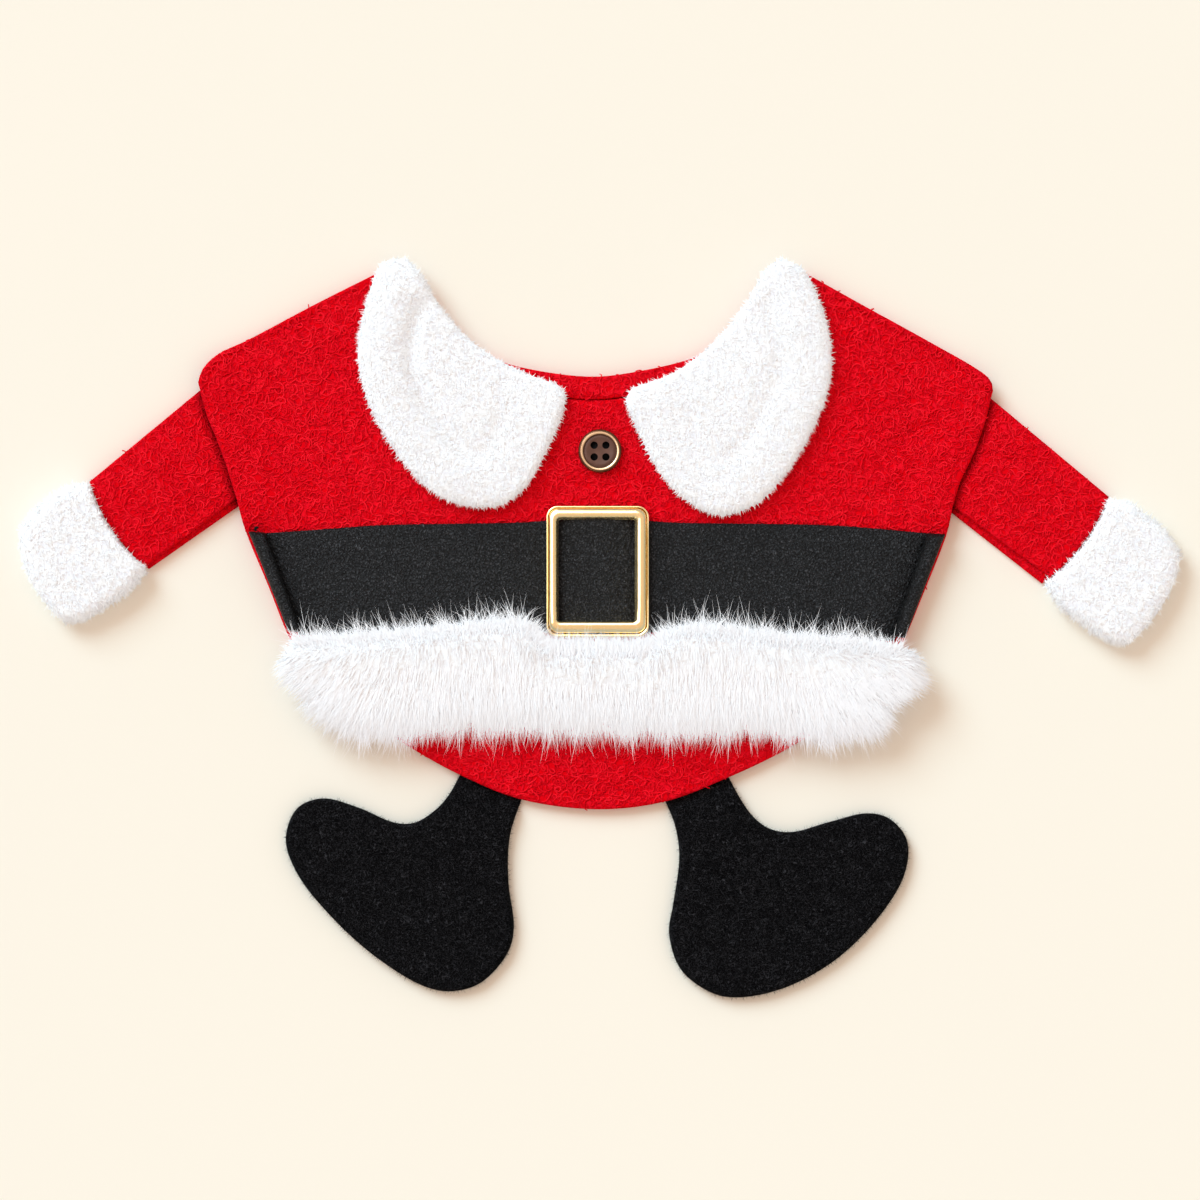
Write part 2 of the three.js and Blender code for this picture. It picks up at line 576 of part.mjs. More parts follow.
/** The trim's backing strip and dense pile, in one rounded form. */
function furTrim() {
  return panel({
    outline: outlineOf([FUR_TOP, FUR_RIGHT, FUR_LOW, FUR_LEFT], 9),
    spine: [[[-95, -20], [-30, -20], [0, -23], [30, -20], [96, -24]]],
    under: () => furSeat,
    wall: (x, y, depth) => FUR.wall * (0.9 + 0.1 * ease(depth, 0, 14)),
    edge: FUR.edge,
    below: FUR.below,
    steps: [0.6, 2, 4.5, 8],
    shares: [0.6],
    flatBelow: true,
  });
}

/** Both layers of a sleeve lie flat; the front one stops short of the back one's lower edge. */
function sleeve(armhole, shape, cuffShape, layer) {
  const place = cuffFrame(cuffShape);
  const topDown = Math.sign(place(0, 1)[1] - place(0, -1)[1]);
  const root = armholeLine(armhole, TUCK);
  if (root[0][1] < root.at(-1)[1]) root.reverse(); // from the shoulder down
  const seam = Array.from({ length: 9 }, (_, i) => topDown * (1 - i / 4) * (cuffShape.seamHalf - GAP))
    .map((across) => place(seamBow(cuffShape, across) - 1.5 * GAP, across));
  const insetFar = layer === "front" ? shape.nearCuff : 0;
  const insetNear = layer === "front" ? shape.nearBody : 0;
  const [seamTop, seamLow] = [seam[0], seam.at(-1)];
  const toward = (from, to, far) => {
    const length = Math.hypot(to[0] - from[0], to[1] - from[1]);
    return [from[0] + ((to[0] - from[0]) * far) / length, from[1] + ((to[1] - from[1]) * far) / length];
  };
  const low = [toward(seamLow, seamTop, insetFar), toward(root.at(-1), root[0], insetNear)];
  const outline = [
    ...sampled([root[0], seamTop], 9),
    ...seam.slice(0, -1),
    ...sampled(low, 9),
    ...root.slice(1).reverse().map((point, i) => (i === 0 ? low[1] : point)),
  ];
  const start = layer === "front" ? TERRY + GAP : 0;
  return panel({
    outline,
    spine: [[toward(root[3], place(0, 0), 9), toward(place(0, 0), root[3], 11)]],
    under: () => start,
    wall: () => TERRY,
    edge: 1,
    steps: [0.3, 1],
  });
}

/** A boot: flat felt, thin where its top lies under the belly. */
function boot({ edge, spine }) {
  return panel({
    outline: outlineOf([edge, [edge.at(-1), edge[0]]], 7),
    spine: [spine],
    under: floor,
    wall: (x, y) => BOOT.top + (BOOT.wall - BOOT.top) * ease(-depthIn(bodyOutline, x, y), 1.2, BOOT.slope),
    edge: BOOT.edge,
    steps: [0.5, 1.8, 6],
    below: 0.45,
    flatBelow: true,
  });
}

// ---------------------------------------------------------------- the costume

const costume = new THREE.Group();

function add(name, geometry, look) {
  const mesh = new THREE.Mesh(geometry, new THREE.MeshStandardMaterial(COLOURS[look]));
  mesh.name = name;
  costume.add(mesh);
}

add("back_panel", backPanel(), "terry");
add("front_panel", frontPanel(), "terry");
add("neck_band", neckBand(), "terry");
add("collar_left", collar(COLLAR_LEFT), "plush");
add("collar_right", collar(COLLAR_RIGHT), "plush");
add("button", buttonSolid(), "button");
add("belt", belt(), "leather");
add("belt_end_left", beltEnd(BELT_END_LEFT), "leather");
add("belt_end_right", beltEnd(BELT_END_RIGHT), "leather");
add("buckle", buckle(), "gold");
add("fur_trim", furTrim(), "fur");
for (const layer of ["front", "back"]) {
  add(`sleeve_left_${layer}`, sleeve(ARMHOLE_LEFT, SLEEVE_LEFT, CUFF_LEFT, layer), "terry");
  add(`sleeve_right_${layer}`, sleeve(ARMHOLE_RIGHT, SLEEVE_RIGHT, CUFF_RIGHT, layer), "terry");
}
add("cuff_left", cuff(CUFF_LEFT), "plush");
add("cuff_right", cuff(CUFF_RIGHT), "plush");
add("boot_left", boot(BOOT_LEFT), "felt");
add("boot_right", boot(BOOT_RIGHT), "felt");

// The origin is the middle of the costume's box, on the floor.
costume.updateMatrixWorld(true);
const box = new THREE.Box3().setFromObject(costume);
costume.position.set(-(box.min.x + box.max.x) / 2, -(box.min.y + box.max.y) / 2, -box.min.z);

export default costume;
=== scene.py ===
# %% [markdown]
# A pet's santa costume, laid flat on a pale floor
#
# The costume is red curly terry with a white plush collar and cuffs, a black belt with a
# metal buckle, a long-haired white trim and two black felt boots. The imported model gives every
# piece its size and place. This lesson lays a finer surface over each soft piece, and then adds
# what a solid can't carry: curled yarn, plush pile, long hairs and stitches.

# %% Load the frame
import json
import math

import bpy
import numpy as np
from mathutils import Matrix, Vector
from mathutils.geometry import delaunay_2d_cdt

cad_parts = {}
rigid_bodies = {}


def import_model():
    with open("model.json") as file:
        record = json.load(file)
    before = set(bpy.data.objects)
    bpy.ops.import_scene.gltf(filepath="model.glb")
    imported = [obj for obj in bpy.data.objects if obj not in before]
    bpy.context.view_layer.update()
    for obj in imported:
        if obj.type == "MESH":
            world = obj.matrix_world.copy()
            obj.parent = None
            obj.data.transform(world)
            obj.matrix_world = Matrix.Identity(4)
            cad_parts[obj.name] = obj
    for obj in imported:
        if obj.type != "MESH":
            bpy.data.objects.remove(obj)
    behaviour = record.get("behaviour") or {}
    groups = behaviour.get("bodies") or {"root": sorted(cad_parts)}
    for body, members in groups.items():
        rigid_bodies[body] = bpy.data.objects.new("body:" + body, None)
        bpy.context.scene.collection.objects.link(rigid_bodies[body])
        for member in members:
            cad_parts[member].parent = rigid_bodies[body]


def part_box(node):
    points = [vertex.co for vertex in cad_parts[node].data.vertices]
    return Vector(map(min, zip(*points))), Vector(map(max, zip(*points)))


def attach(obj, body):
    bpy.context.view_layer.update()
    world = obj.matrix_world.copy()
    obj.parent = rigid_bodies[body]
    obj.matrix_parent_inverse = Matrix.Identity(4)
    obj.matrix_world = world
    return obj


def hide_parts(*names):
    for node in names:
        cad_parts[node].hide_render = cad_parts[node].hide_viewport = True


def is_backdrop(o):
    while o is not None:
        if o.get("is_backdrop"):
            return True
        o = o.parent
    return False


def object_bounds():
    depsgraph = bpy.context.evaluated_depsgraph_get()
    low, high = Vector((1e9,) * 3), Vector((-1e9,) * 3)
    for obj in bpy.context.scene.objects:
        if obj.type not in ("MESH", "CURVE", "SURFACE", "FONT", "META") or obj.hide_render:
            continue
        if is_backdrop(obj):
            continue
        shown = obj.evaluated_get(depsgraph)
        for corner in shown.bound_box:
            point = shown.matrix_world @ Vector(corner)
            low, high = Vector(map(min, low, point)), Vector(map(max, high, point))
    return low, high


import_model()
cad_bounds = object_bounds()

# %% [markdown]
# Camera and colours
#
# The costume lies flat, so the camera looks straight down from two metres, where a long lens
# keeps the thick pieces from leaning outwards. Colours are shown as they are, without a film
# look, because a film look would turn the saturated red to orange.

# %% Camera and colours
MM = 0.001
SIDES = ("left", "right")
VIEW_CENTRE = (0.0001, 0.0098)
VIEW_WIDTH = 0.42
CAMERA_HEIGHT = 2.1
SENSOR = 36.0


def paint(red, green, blue):
    """A colour as a screen shows it, 0 to 255, turned into the light that it stands for.

    A share c above 0.04045 becomes ((c + 0.055) / 1.055) ** 2.4, and a darker one c / 12.92.
    """
    share = np.array([red, green, blue]) / 255.0
    light = np.where(share > 0.04045, ((share + 0.055) / 1.055) ** 2.4, share / 12.92)
    return (*(float(value) for value in light), 1.0)


def add_camera():
    """A camera that looks straight down, with the top of its view towards the collar."""
    data = bpy.data.cameras.new("camera")
    data.sensor_width = SENSOR
    data.lens = SENSOR * CAMERA_HEIGHT / VIEW_WIDTH
    thing = bpy.data.objects.new("camera", data)
    thing.location = (*VIEW_CENTRE, CAMERA_HEIGHT)
    bpy.context.scene.collection.objects.link(thing)
    bpy.context.scene.camera = thing


add_camera()
bpy.context.scene.view_settings.view_transform = "Standard"
bpy.context.scene.view_settings.look = "None"
print("lens", round(bpy.context.scene.camera.data.lens, 1), "mm")

# %% [markdown]
# Sums on a material's sockets
#
# A material is a net of nodes. Writing it link by link hides what it computes, so a small class
# wraps a socket, and adding or multiplying two of them adds the Math node that does it.

# %% Wires: sums of sockets
class Wire:
    """A value on its way through a material. Sums of wires and numbers add Math nodes."""

    def __init__(self, tree, socket=None):
        self.tree = tree
        self.socket = socket

    def node(self, kind, settings=None, sockets=None, output=0):
        """A new node of a kind: its settings first, then its sockets' values or links."""
        made = self.tree.nodes.new(kind)
        for name, value in (settings or {}).items():
            setattr(made, name, value)
        for name, value in (sockets or {}).items():
            if isinstance(value, Wire):
                self.tree.links.new(value.socket, made.inputs[name])
            else:
                made.inputs[name].default_value = value
        return Wire(self.tree, made.outputs[output] if len(made.outputs) else None)

    def math(self, operation, *values):
        """A Math node on these values."""
        return self.node("ShaderNodeMath", {"operation": operation}, dict(enumerate(values)))

    def __add__(self, other):
        return self.math("ADD", self, other)

    def __radd__(self, other):
        return self.math("ADD", other, self)

    def __sub__(self, other):
        return self.math("SUBTRACT", self, other)

    def __rsub__(self, other):
        return self.math("SUBTRACT", other, self)

    def __mul__(self, other):
        return self.math("MULTIPLY", self, other)

    def __rmul__(self, other):
        return self.math("MULTIPLY", other, self)

    def __abs__(self):
        return self.math("ABSOLUTE", self)


def blank(name):
    """A new material, and a wire that says where on its piece a point lies, in metres."""
    material = bpy.data.materials.new(name)
    material.use_nodes = True
    material.node_tree.nodes.clear()
    place = Wire(material.node_tree).node("ShaderNodeTexCoord", output="Object")
    return material, place


def noise(place, scale, detail=2.0, distortion=0.0, shift=0.0):
    """Soft random values near 0.5, with about `scale` swells to the metre."""
    moved = place.node("ShaderNodeVectorMath", {"operation": "ADD"}, {0: place, 1: (shift,) * 3})
    sockets = {"Vector": moved, "Scale": scale, "Detail": detail, "Distortion": distortion}
    return place.node("ShaderNodeTexNoise", {}, sockets)


def smooth(value, low, high):
    """0 below low, 1 above high, and a soft step between them."""
    sockets = {"Value": value, "From Min": low, "From Max": high}
    return value.node("ShaderNodeMapRange", {"interpolation_type": "SMOOTHSTEP"}, sockets)


def blend(share, first, second):
    """The first colour where share is 0, and the second where it is 1."""
    sockets = {0: share, 6: first, 7: second}
    return share.node("ShaderNodeMix", {"data_type": "RGBA"}, sockets, output=2)


def own(place, name):
    """A value that the piece's own mesh carries at its points."""
    return place.node("ShaderNodeAttribute", {"attribute_name": name}, output="Fac")


def surfaced(place, sockets, height=None, depth=0.0):
    """Ends a material in one shader, with height raised into a bump of a depth in metres."""
    sockets = dict(sockets)
    if height is not None:
        sockets["Normal"] = place.node("ShaderNodeBump", {}, {"Height": height, "Distance": depth})
    shader = place.node("ShaderNodeBsdfPrincipled", {}, sockets)
    place.node("ShaderNodeOutputMaterial", {}, {"Surface": shader})


print("wires ready")

# %% [markdown]
# Light and floor
#
# A wide, distant lamp at the upper left models the pile and throws short soft shadows. A large
# reflector on the same side puts the white bands on the metal and the soft sheen on the leather.
# The sky is brightest and warmest overhead and cooler low down. Close to the cloth only the low
# light is missing, so the wide soft shadows are warm. The floor is smooth cream paper.

# %% Light
SUN = {"elevation": 37.0, "azimuth": 131.0, "softness": 34.0, "strength": 2.41,
       "colour": (0.59, 0.852, 1.0)}
REFLECTOR = {"elevation": 38.0, "azimuth": 137.0, "far": 2.5, "side": 4.2, "power": 130.0}
SKY = {"overhead": (0.899, 0.678, 0.546, 1.0), "low": (0.50, 0.54, 0.55, 1.0), "fade": (0.15, 0.95)}


def add_sun(elevation, azimuth, softness, strength, colour):
    """A wide distant lamp at an azimuth from +X and an elevation, both in degrees."""
    data = bpy.data.lights.new("window", "SUN")
    data.angle = math.radians(softness)
    data.energy = strength
    data.color = colour
    thing = bpy.data.objects.new("window", data)
    tilt = math.radians(90 - elevation)
    thing.rotation_euler = (0.0, tilt, math.radians(azimuth))
    bpy.context.scene.collection.objects.link(thing)


def add_reflector(elevation, azimuth, far, side, power):
    """A large white sheet that only polished things show, as a studio's reflector does for metal."""
    data = bpy.data.lights.new("reflector", "AREA")
    data.size = side
    data.energy = power
    thing = bpy.data.objects.new("reflector", data)
    up, turn = math.radians(elevation), math.radians(azimuth)
    flat = math.cos(up) * far
    thing.location = (flat * math.cos(turn), flat * math.sin(turn), math.sin(up) * far)
    thing.rotation_euler = (0.0, math.radians(90 - elevation), turn)
    thing.visible_diffuse = False
    bpy.context.scene.collection.objects.link(thing)


def add_sky(overhead, low, fade):
    """Soft light from all round: brightest overhead, dimmer and cooler towards the horizon.

    fade gives the two heights, as the sine of the elevation, that the light changes between.
    """
    world = bpy.data.worlds.new("sky")
    world.use_nodes = True
    tree = world.node_tree
    tree.nodes.clear()
    start = Wire(tree)
    up = start.node("ShaderNodeSeparateXYZ", {}, {0: start.node("ShaderNodeTexCoord")}, output="Z")
    colour = blend(smooth(up, *fade), low, overhead)
    back = start.node("ShaderNodeBackground", {}, {"Color": colour})
    start.node("ShaderNodeOutputWorld", {}, {"Surface": back})
    bpy.context.scene.world = world


add_sun(**SUN)
add_reflector(**REFLECTOR)
add_sky(**SKY)
print("sun, reflector and sky lit")

# %% Floor
FLOOR_HALF = 4.0


def floor_finish():
    """Smooth cream paper with hardly any grain."""
    material, place = blank("cream_paper")
    colour = blend(noise(place, 3.0), paint(247, 241, 227), paint(250, 243, 229))
    surfaced(place, {"Base Color": colour, "Roughness": 0.9})
    return material


def add_floor():
    """A wide flat sheet that the costume lies on."""
    corners = [(FLOOR_HALF * x, FLOOR_HALF * y, 0) for x, y in [(-1, -1), (1, -1), (1, 1), (-1, 1)]]
    mesh = bpy.data.meshes.new("floor")
    mesh.from_pydata(corners, [], [(0, 1, 2, 3)])
    mesh.materials.append(floor_finish())
    thing = bpy.data.objects.new("floor", mesh)
    bpy.context.scene.collection.objects.link(thing)
    thing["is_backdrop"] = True


add_floor()
print("floor laid")

# %% [markdown]
# Lines on the cutting table
#
# A pattern cutter works with outlines drawn through a few points. The helpers here do that on
# whole arrays: a smooth line through points, the nearest point of a line, and how deep inside
# an outline a point lies. Sizes are in millimetres until a mesh is made.

# %% Lines
CURVE_SAMPLES = 16  # spots between two points of a smooth line


def ease(value, low, high):
    """Rises from 0 to 1 between low and high, as share squared times (3 - 2 share)."""
    share = np.clip((value - low) / (high - low), 0.0, 1.0)
    return share * share * (3.0 - 2.0 * share)


def unit(vectors):
    """The same directions with a length of 1."""
    return vectors / np.maximum(np.linalg.norm(vectors, axis=-1, keepdims=True), 1e-9)


def resampled(line, count):
    """The same line in equal steps: points read off at equal shares of its length."""
    far = np.concatenate([[0.0], np.cumsum(np.linalg.norm(np.diff(line, axis=0), axis=1))])
    at = np.linspace(0.0, far[-1], count + 1)
    return np.stack([np.interp(at, far, column) for column in line.T], axis=1)


def curve(points, step):
    """A smooth line through a few points, in equal steps of about `step`.

    It is the Catmull-Rom curve whose knots lie the square root of a chord apart, worked out as
    three rounds of straight mixes between neighbouring points.
    """
    p = np.asarray(points, float)
    p = np.vstack([2 * p[0] - p[1], p, 2 * p[-1] - p[-2]])
    chords = np.linalg.norm(np.diff(p, axis=0), axis=1)
    knots = np.concatenate([[0.0], np.cumsum(np.sqrt(chords))])
    runs = len(p) - 3
    t0, t1, t2, t3 = (knots[k : k + runs, None, None] for k in range(4))
    p0, p1, p2, p3 = (p[k : k + runs, None, :] for k in range(4))
    t = t1 + (t2 - t1) * np.linspace(0.0, 1.0, CURVE_SAMPLES + 1)[None, :-1, None]

    def between(a, b, ta, tb):
        return a + (b - a) * (t - ta) / (tb - ta)

    a1, a2, a3 = between(p0, p1, t0, t1), between(p1, p2, t1, t2), between(p2, p3, t2, t3)
    b1, b2 = between(a1, a2, t0, t2), between(a2, a3, t1, t3)
    fine = np.vstack([between(b1, b2, t1, t2).reshape(-1, p.shape[1]), p[-2]])
    length = np.linalg.norm(np.diff(fine, axis=0), axis=1).sum()
    return resampled(fine, max(1, round(length / step)))


def outline_of(runs, step):
    """A closed outline whose runs meet at corners."""
    return np.vstack([curve(run, step)[:-1] for run in runs])


def beside(line, far):
    """The line moved a distance to the left of its own direction."""
    ahead = np.gradient(np.asarray(line, float), axis=0)
    return line + unit(np.stack([-ahead[:, 1], ahead[:, 0]], axis=1)) * far


print("smooth lines ready")

# %% Distances and areas
ROWS_AT_ONCE = 4000  # points that are worked out together, to save memory


def nearest(line, at):
    """For each point: the nearest spot of a line, its distance, and its share of the line."""
    line = np.asarray(line, float)
    a, along = line[:-1], np.diff(line, axis=0)
    spots, fars, shares = [], [], []
    for part in np.array_split(at, max(1, len(at) // ROWS_AT_ONCE)):
        share = ((part[:, None] - a) * along).sum(2) / np.maximum((along**2).sum(1), 1e-12)
        share = np.clip(share, 0.0, 1.0)
        spot = a + share[..., None] * along
        far = np.linalg.norm(part[:, None] - spot, axis=2)
        k = far.argmin(1)
        rows = np.arange(len(part))
        spots.append(spot[rows, k])
        fars.append(far[rows, k])
        shares.append((k + share[rows, k]) / len(a))
    return np.concatenate(spots), np.concatenate(fars), np.concatenate(shares)


def depth_in(outline, at):
    """Distance in from a closed outline, below 0 outside it.

    A point is inside if a line to its right crosses the outline an odd number of times.
    """
    a, b = outline, np.roll(outline, -1, axis=0)
    far = nearest(np.vstack([outline, outline[:1]]), at)[1]
    sides = []
    for part in np.array_split(at, max(1, len(at) // ROWS_AT_ONCE)):
        x, y = part[:, :1], part[:, 1:]
        rise = np.where(a[:, 1] == b[:, 1], 1.0, b[:, 1] - a[:, 1])
        meets = a[:, 0] + (b[:, 0] - a[:, 0]) * (y - a[:, 1]) / rise
        crossed = ((a[:, 1] > y) != (b[:, 1] > y)) & (x < meets)
        sides.append(crossed.sum(1) % 2 == 1)
    return np.where(np.concatenate(sides), far, -far)


def area_of(outline):
    """The area inside an outline, in square metres: half the sum of its corners' products."""
    x, y = outline.T
    return abs(np.sum(x * np.roll(y, -1) - y * np.roll(x, -1))) / 2 * MM * MM


print("distances and areas ready")

# %% [markdown]
# From arrays to pieces
#
# A mesh takes its points and faces as flat arrays. Each piece then rides on the costume's one
# body, takes the material that it is given, and stands for the solid that it covers, which is hidden.

# %% Meshes and pieces
BUTTON = {"x": 0.5, "y": 61.8, "radius": 7.6, "height": 3.0, "hole": 1.3, "reach": 2.05, "pad": 4.6}
low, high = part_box("button")
button_middle = np.array([low.x + high.x, low.y + high.y]) / 2 / MM
SHIFT = np.array([button_middle[0] - BUTTON["x"], button_middle[1] - BUTTON["y"], 0.0])


def mesh_from(name, points, faces, marks=None, facing=None):
    """A mesh of points in millimetres and of arrays of faces, each array with its own corners.

    marks are values that its points carry, and facing is the direction that they are shaded in.
    """
    faces = [np.asarray(group, np.int32) for group in faces if len(group)]
    corners = np.concatenate([group.ravel() for group in faces])
    sizes = np.concatenate([np.full(len(group), group.shape[1]) for group in faces])
    mesh = bpy.data.meshes.new(name)
    mesh.vertices.add(len(points))
    mesh.vertices.foreach_set("co", ((points + SHIFT) * MM).astype(np.float32).ravel())
    mesh.loops.add(len(corners))
    mesh.loops.foreach_set("vertex_index", corners)
    mesh.polygons.add(len(sizes))
    starts = np.concatenate([[0], np.cumsum(sizes)[:-1]])
    mesh.polygons.foreach_set("loop_start", starts.astype(np.int32))
    mesh.update(calc_edges=True)
    mesh.validate()
    mesh.shade_smooth()
    for mark, values in (marks or {}).items():
        layer = mesh.attributes.new(mark, "FLOAT", "POINT")
        layer.data.foreach_set("value", np.asarray(values, np.float32))
    if facing is not None:
        mesh.normals_split_custom_set_from_vertices(facing.astype(np.float32))
    return mesh


def piece(name, mesh, material, slot, *nodes):
    """A finished piece of the costume that stands for these solids."""
    thing = bpy.data.objects.new(name, mesh)
    bpy.context.scene.collection.objects.link(thing)
    mesh.materials.append(material)
    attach(thing, "root")
    if nodes:
        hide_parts(*nodes)
    triangles = sum(len(polygon.vertices) - 2 for polygon in mesh.polygons)
    print(f"{name}: {triangles} triangles")
    return thing


print("the model's centre is off the drawing's by", SHIFT.round(2), "mm")

# %% [markdown]
# A piece of cloth as rings
#
# Cloth cut to an outline could be a flat sheet given a wall by a modifier, but its edge would
# be square. Here rings of points step in from the outline towards a spine line, over the cloth
# and under it, so the edge is round and the height may change everywhere.

# %% Panels
ROW_RISE = 0.866  # from one staggered row to the next, as a share of the spacing
RING_REACH = 0.8  # how far towards the spine the last ring may come
NET_CLEAR = 0.6  # how far the net's spots keep off the last ring, as a share of their spacing
UNDER_NET = 4.0  # how much wider the net's spacing is on the underside, which doesn't show


def spaced(outline, spacing, clear):
    """Spots of a grid with staggered rows, all of them deeper than `clear` inside an outline."""
    corner, far = outline.min(axis=0), outline.max(axis=0)
    rows = np.arange(corner[1], far[1], spacing * ROW_RISE)
    columns = np.arange(corner[0], far[0] + spacing, spacing)
    x = columns[None, :] + (np.arange(len(rows)) % 2)[:, None] * spacing / 2
    grid = np.stack([x, np.broadcast_to(rows[:, None], x.shape)], axis=-1).reshape(-1, 2)
    return grid[depth_in(outline, grid) > clear]


def filled(ring, spots):
    """Triangles over the inside of a ring, with corners on it and on loose spots in it."""
    flat = [Vector(spot) for spot in np.vstack([ring, spots]).tolist()]
    made = delaunay_2d_cdt(flat, [], [list(range(len(ring)))], 1, 1e-7)
    origin = np.array([before[0] for before in made[3]])
    return origin[np.array(made[2], np.int64)]


def panel(outline, spines, under, wall, edge, steps, spacing, below=0.5, flat_below=False):
    """A closed piece of cloth: points in millimetres, faces, and the triangles that face up.

    Rings step in from the outline towards the nearest spot of a spine, and a net of triangles
    fills the last one. The upper height is under + wall (1 - (1 - below) round), the lower one
    under + wall below round, and round is 1 - sqrt(1 - (1 - depth / edge) squared).
    """
    x, y = outline.T
    if np.sum(x * np.roll(y, -1) - y * np.roll(x, -1)) < 0:
        outline = outline[::-1]
    found = [nearest(line, outline) for line in spines]
    pick = np.argmin([far for _, far, _ in found], axis=0)
    rows = np.arange(len(outline))
    target = np.array([spot for spot, _, _ in found])[pick, rows]
    reach = np.array([far for _, far, _ in found])[pick, rows]
    steps = np.array(steps, float)
    rounds = steps[:, None] * np.minimum(1.0, RING_REACH * reach / steps[-1])

    def heights(flat, depth, up):
        fall = 1.0 - np.sqrt(1.0 - (1.0 - np.clip(depth / edge, 0.0, 1.0)) ** 2)
        share = 1.0 - (1.0 - below) * fall if up else below * fall
        return np.column_stack([flat, under(flat) + wall(flat, depth_in(outline, flat)) * share])

    def side(depths, net, up):
        flat = (outline + (target - outline) * (depths / reach)[..., None]).reshape(-1, 2)
        last = flat[-len(outline):]
        spots = spaced(last, net, NET_CLEAR * net)
        deep = np.concatenate([depths.ravel(), np.full(len(spots), max(edge, steps[-1]))])
        points = heights(np.vstack([flat, spots]), deep, up)
        return points, filled(last, spots) + (len(depths) - 1) * len(outline)

    upper, upper_net = side(np.vstack([np.zeros((1, len(outline))), rounds]), spacing, True)
    lower_rounds = rounds[steps <= edge] if flat_below else rounds
    lower, lower_net = side(lower_rounds, UNDER_NET * spacing, False)
    count = len(outline)
    after = (rows + 1) % count
    first = len(upper)

    def joined(outer, inner):
        return np.stack([outer + rows, outer + after, inner + after, inner + rows], axis=1)

    tops = np.vstack([joined(k * count, (k + 1) * count) for k in range(len(rounds))])
    lows = [joined(0, first)]
    lows += [joined(first + k * count, first + (k + 1) * count) for k in range(len(lower_rounds) - 1)]
    quads = np.vstack([tops, np.vstack(lows)[:, ::-1]])
    triangles = np.vstack([upper_net, (lower_net + first)[:, ::-1]])
    shown = np.vstack([tops[:, [0, 1, 2]], tops[:, [0, 2, 3]], upper_net])
    return np.vstack([upper, lower]), [quads, triangles], shown


print("panels ready")

# %% Lofts and tubes
def loft(rings, closed=False):
    """A closed surface through closed rings, stations × ring points × 3, with flat ends."""
    stations, count = rings.shape[:2]
    i = np.arange(stations if closed else stations - 1)[:, None] * count
    j = np.arange(count)
    k = (j + 1) % count
    ahead = (i + count) % (stations * count)
    quads = np.stack([i + j, ahead + j, ahead + k, i + k], axis=2).reshape(-1, 4)
    ends = [] if closed else [j[None], ((stations - 1) * count + j[::-1])[None]]
    return rings.reshape(-1, 3), [quads, *ends]


def tubes(paths, radii, sides, roll, pointed=False):
    """Many closed tubes at once: paths is tubes × stations × 3, radii tubes × stations.

    At each station stands a ring square to the line: centre + radius (cos side + sin up), where
    side is the line's direction crossed with roll, so a tube's flat side faces along roll. A
    pointed tube ends in one point.
    """
    number, stations = radii.shape
    ahead = unit(np.gradient(paths, axis=1))
    side = unit(np.cross(ahead, roll[:, None]))
    up = np.cross(ahead, side)
    turn = 2 * math.pi * np.arange(sides) / sides + math.pi / 2
    arms = np.cos(turn)[:, None] * side[:, :, None] + np.sin(turn)[:, None] * up[:, :, None]
    rings = paths[:, :, None] + radii[..., None, None] * arms
    share = np.repeat(np.linspace(0.0, 1.0, stations), sides)
    last = stations - 1
    if pointed:
        points = np.concatenate([rings[:, :last].reshape(number, -1, 3), paths[:, last:]], axis=1)
        share = np.concatenate([share[: last * sides], [1.0]])
    else:
        points = rings.reshape(number, -1, 3)
    k = np.arange(last - 1 if pointed else last)[:, None] * sides
    j = np.arange(sides)
    n = (j + 1) % sides
    quads = np.stack([k + j, k + n, k + sides + n, k + sides + j], axis=2).reshape(-1, 4)
    size = points.shape[1]
    starts = np.arange(number)[:, None, None] * size

    def repeated(pattern):
        return (starts + pattern).reshape(-1, pattern.shape[1])

    end = (last - 1 if pointed else last) * sides
    tips = np.stack([end + j, end + n, np.full(sides, last * sides)], axis=1)
    faces = [repeated(quads), repeated(j[::-1][None])]
    faces.append(repeated(tips) if pointed else repeated((end + j)[None]))
    return points.reshape(-1, 3), faces, np.tile(share, number), size


print("lofts and tubes ready")

# %% [markdown]
# How the layers lie
#
# The front panel lies on the back panel and puffs up a little away from its edges. It is lifted
# where a sleeve's root is tucked under the armhole, and soft creases run from the armholes
# towards the belt, where the cloth is pulled. Everything on the front takes its height here.

# %% The drawing
GAP = 0.3  # between a piece and what it lies on
TERRY = 2.0  # wall of the red cloth
TUCK = 5.5  # a sleeve's root under the armhole's edge
BOOT_TUCK = 4.0  # a boot's top under the belly's edge
BAND_WIDTH = 8.0
BAND_CROWN = 0.35
BELT_WALL = 1.2
BELT_EASE = 0.25  # how loosely the belt lies

SHOULDER_LEFT = [(-76.9, 124.3), (-99, 113.2), (-122.4, 100.8), (-133.2, 95.6), (-138.5, 90),
                 (-139.8, 85.8)]
ARMHOLE_LEFT = [(-139.8, 85.8), (-137.1, 75.3), (-133.6, 66.5), (-130.8, 59.2), (-126.2, 44.5)]
SIDE_LEFT = [(-126.2, 44.5), (-123.3, 34), (-115.9, 16), (-105.9, -7.7), (-97.6, -18.6), (-83.5, -29.9)]
BELLY = [(-83.5, -29.9), (-65.3, -42), (-48.2, -51.4), (-27.2, -59.8), (0, -63.3), (23.6, -60.5),
         (44.6, -52.5), (63.8, -43.4), (84.1, -31.2)]
SIDE_RIGHT = [(84.1, -31.2), (97.5, -19.8), (105.4, -7), (113.5, 12), (121.6, 32.9), (123.7, 42.7)]
ARMHOLE_RIGHT = [(123.7, 42.7), (126.5, 51.5), (130.7, 60.2), (134.9, 71.8), (137.7, 83)]
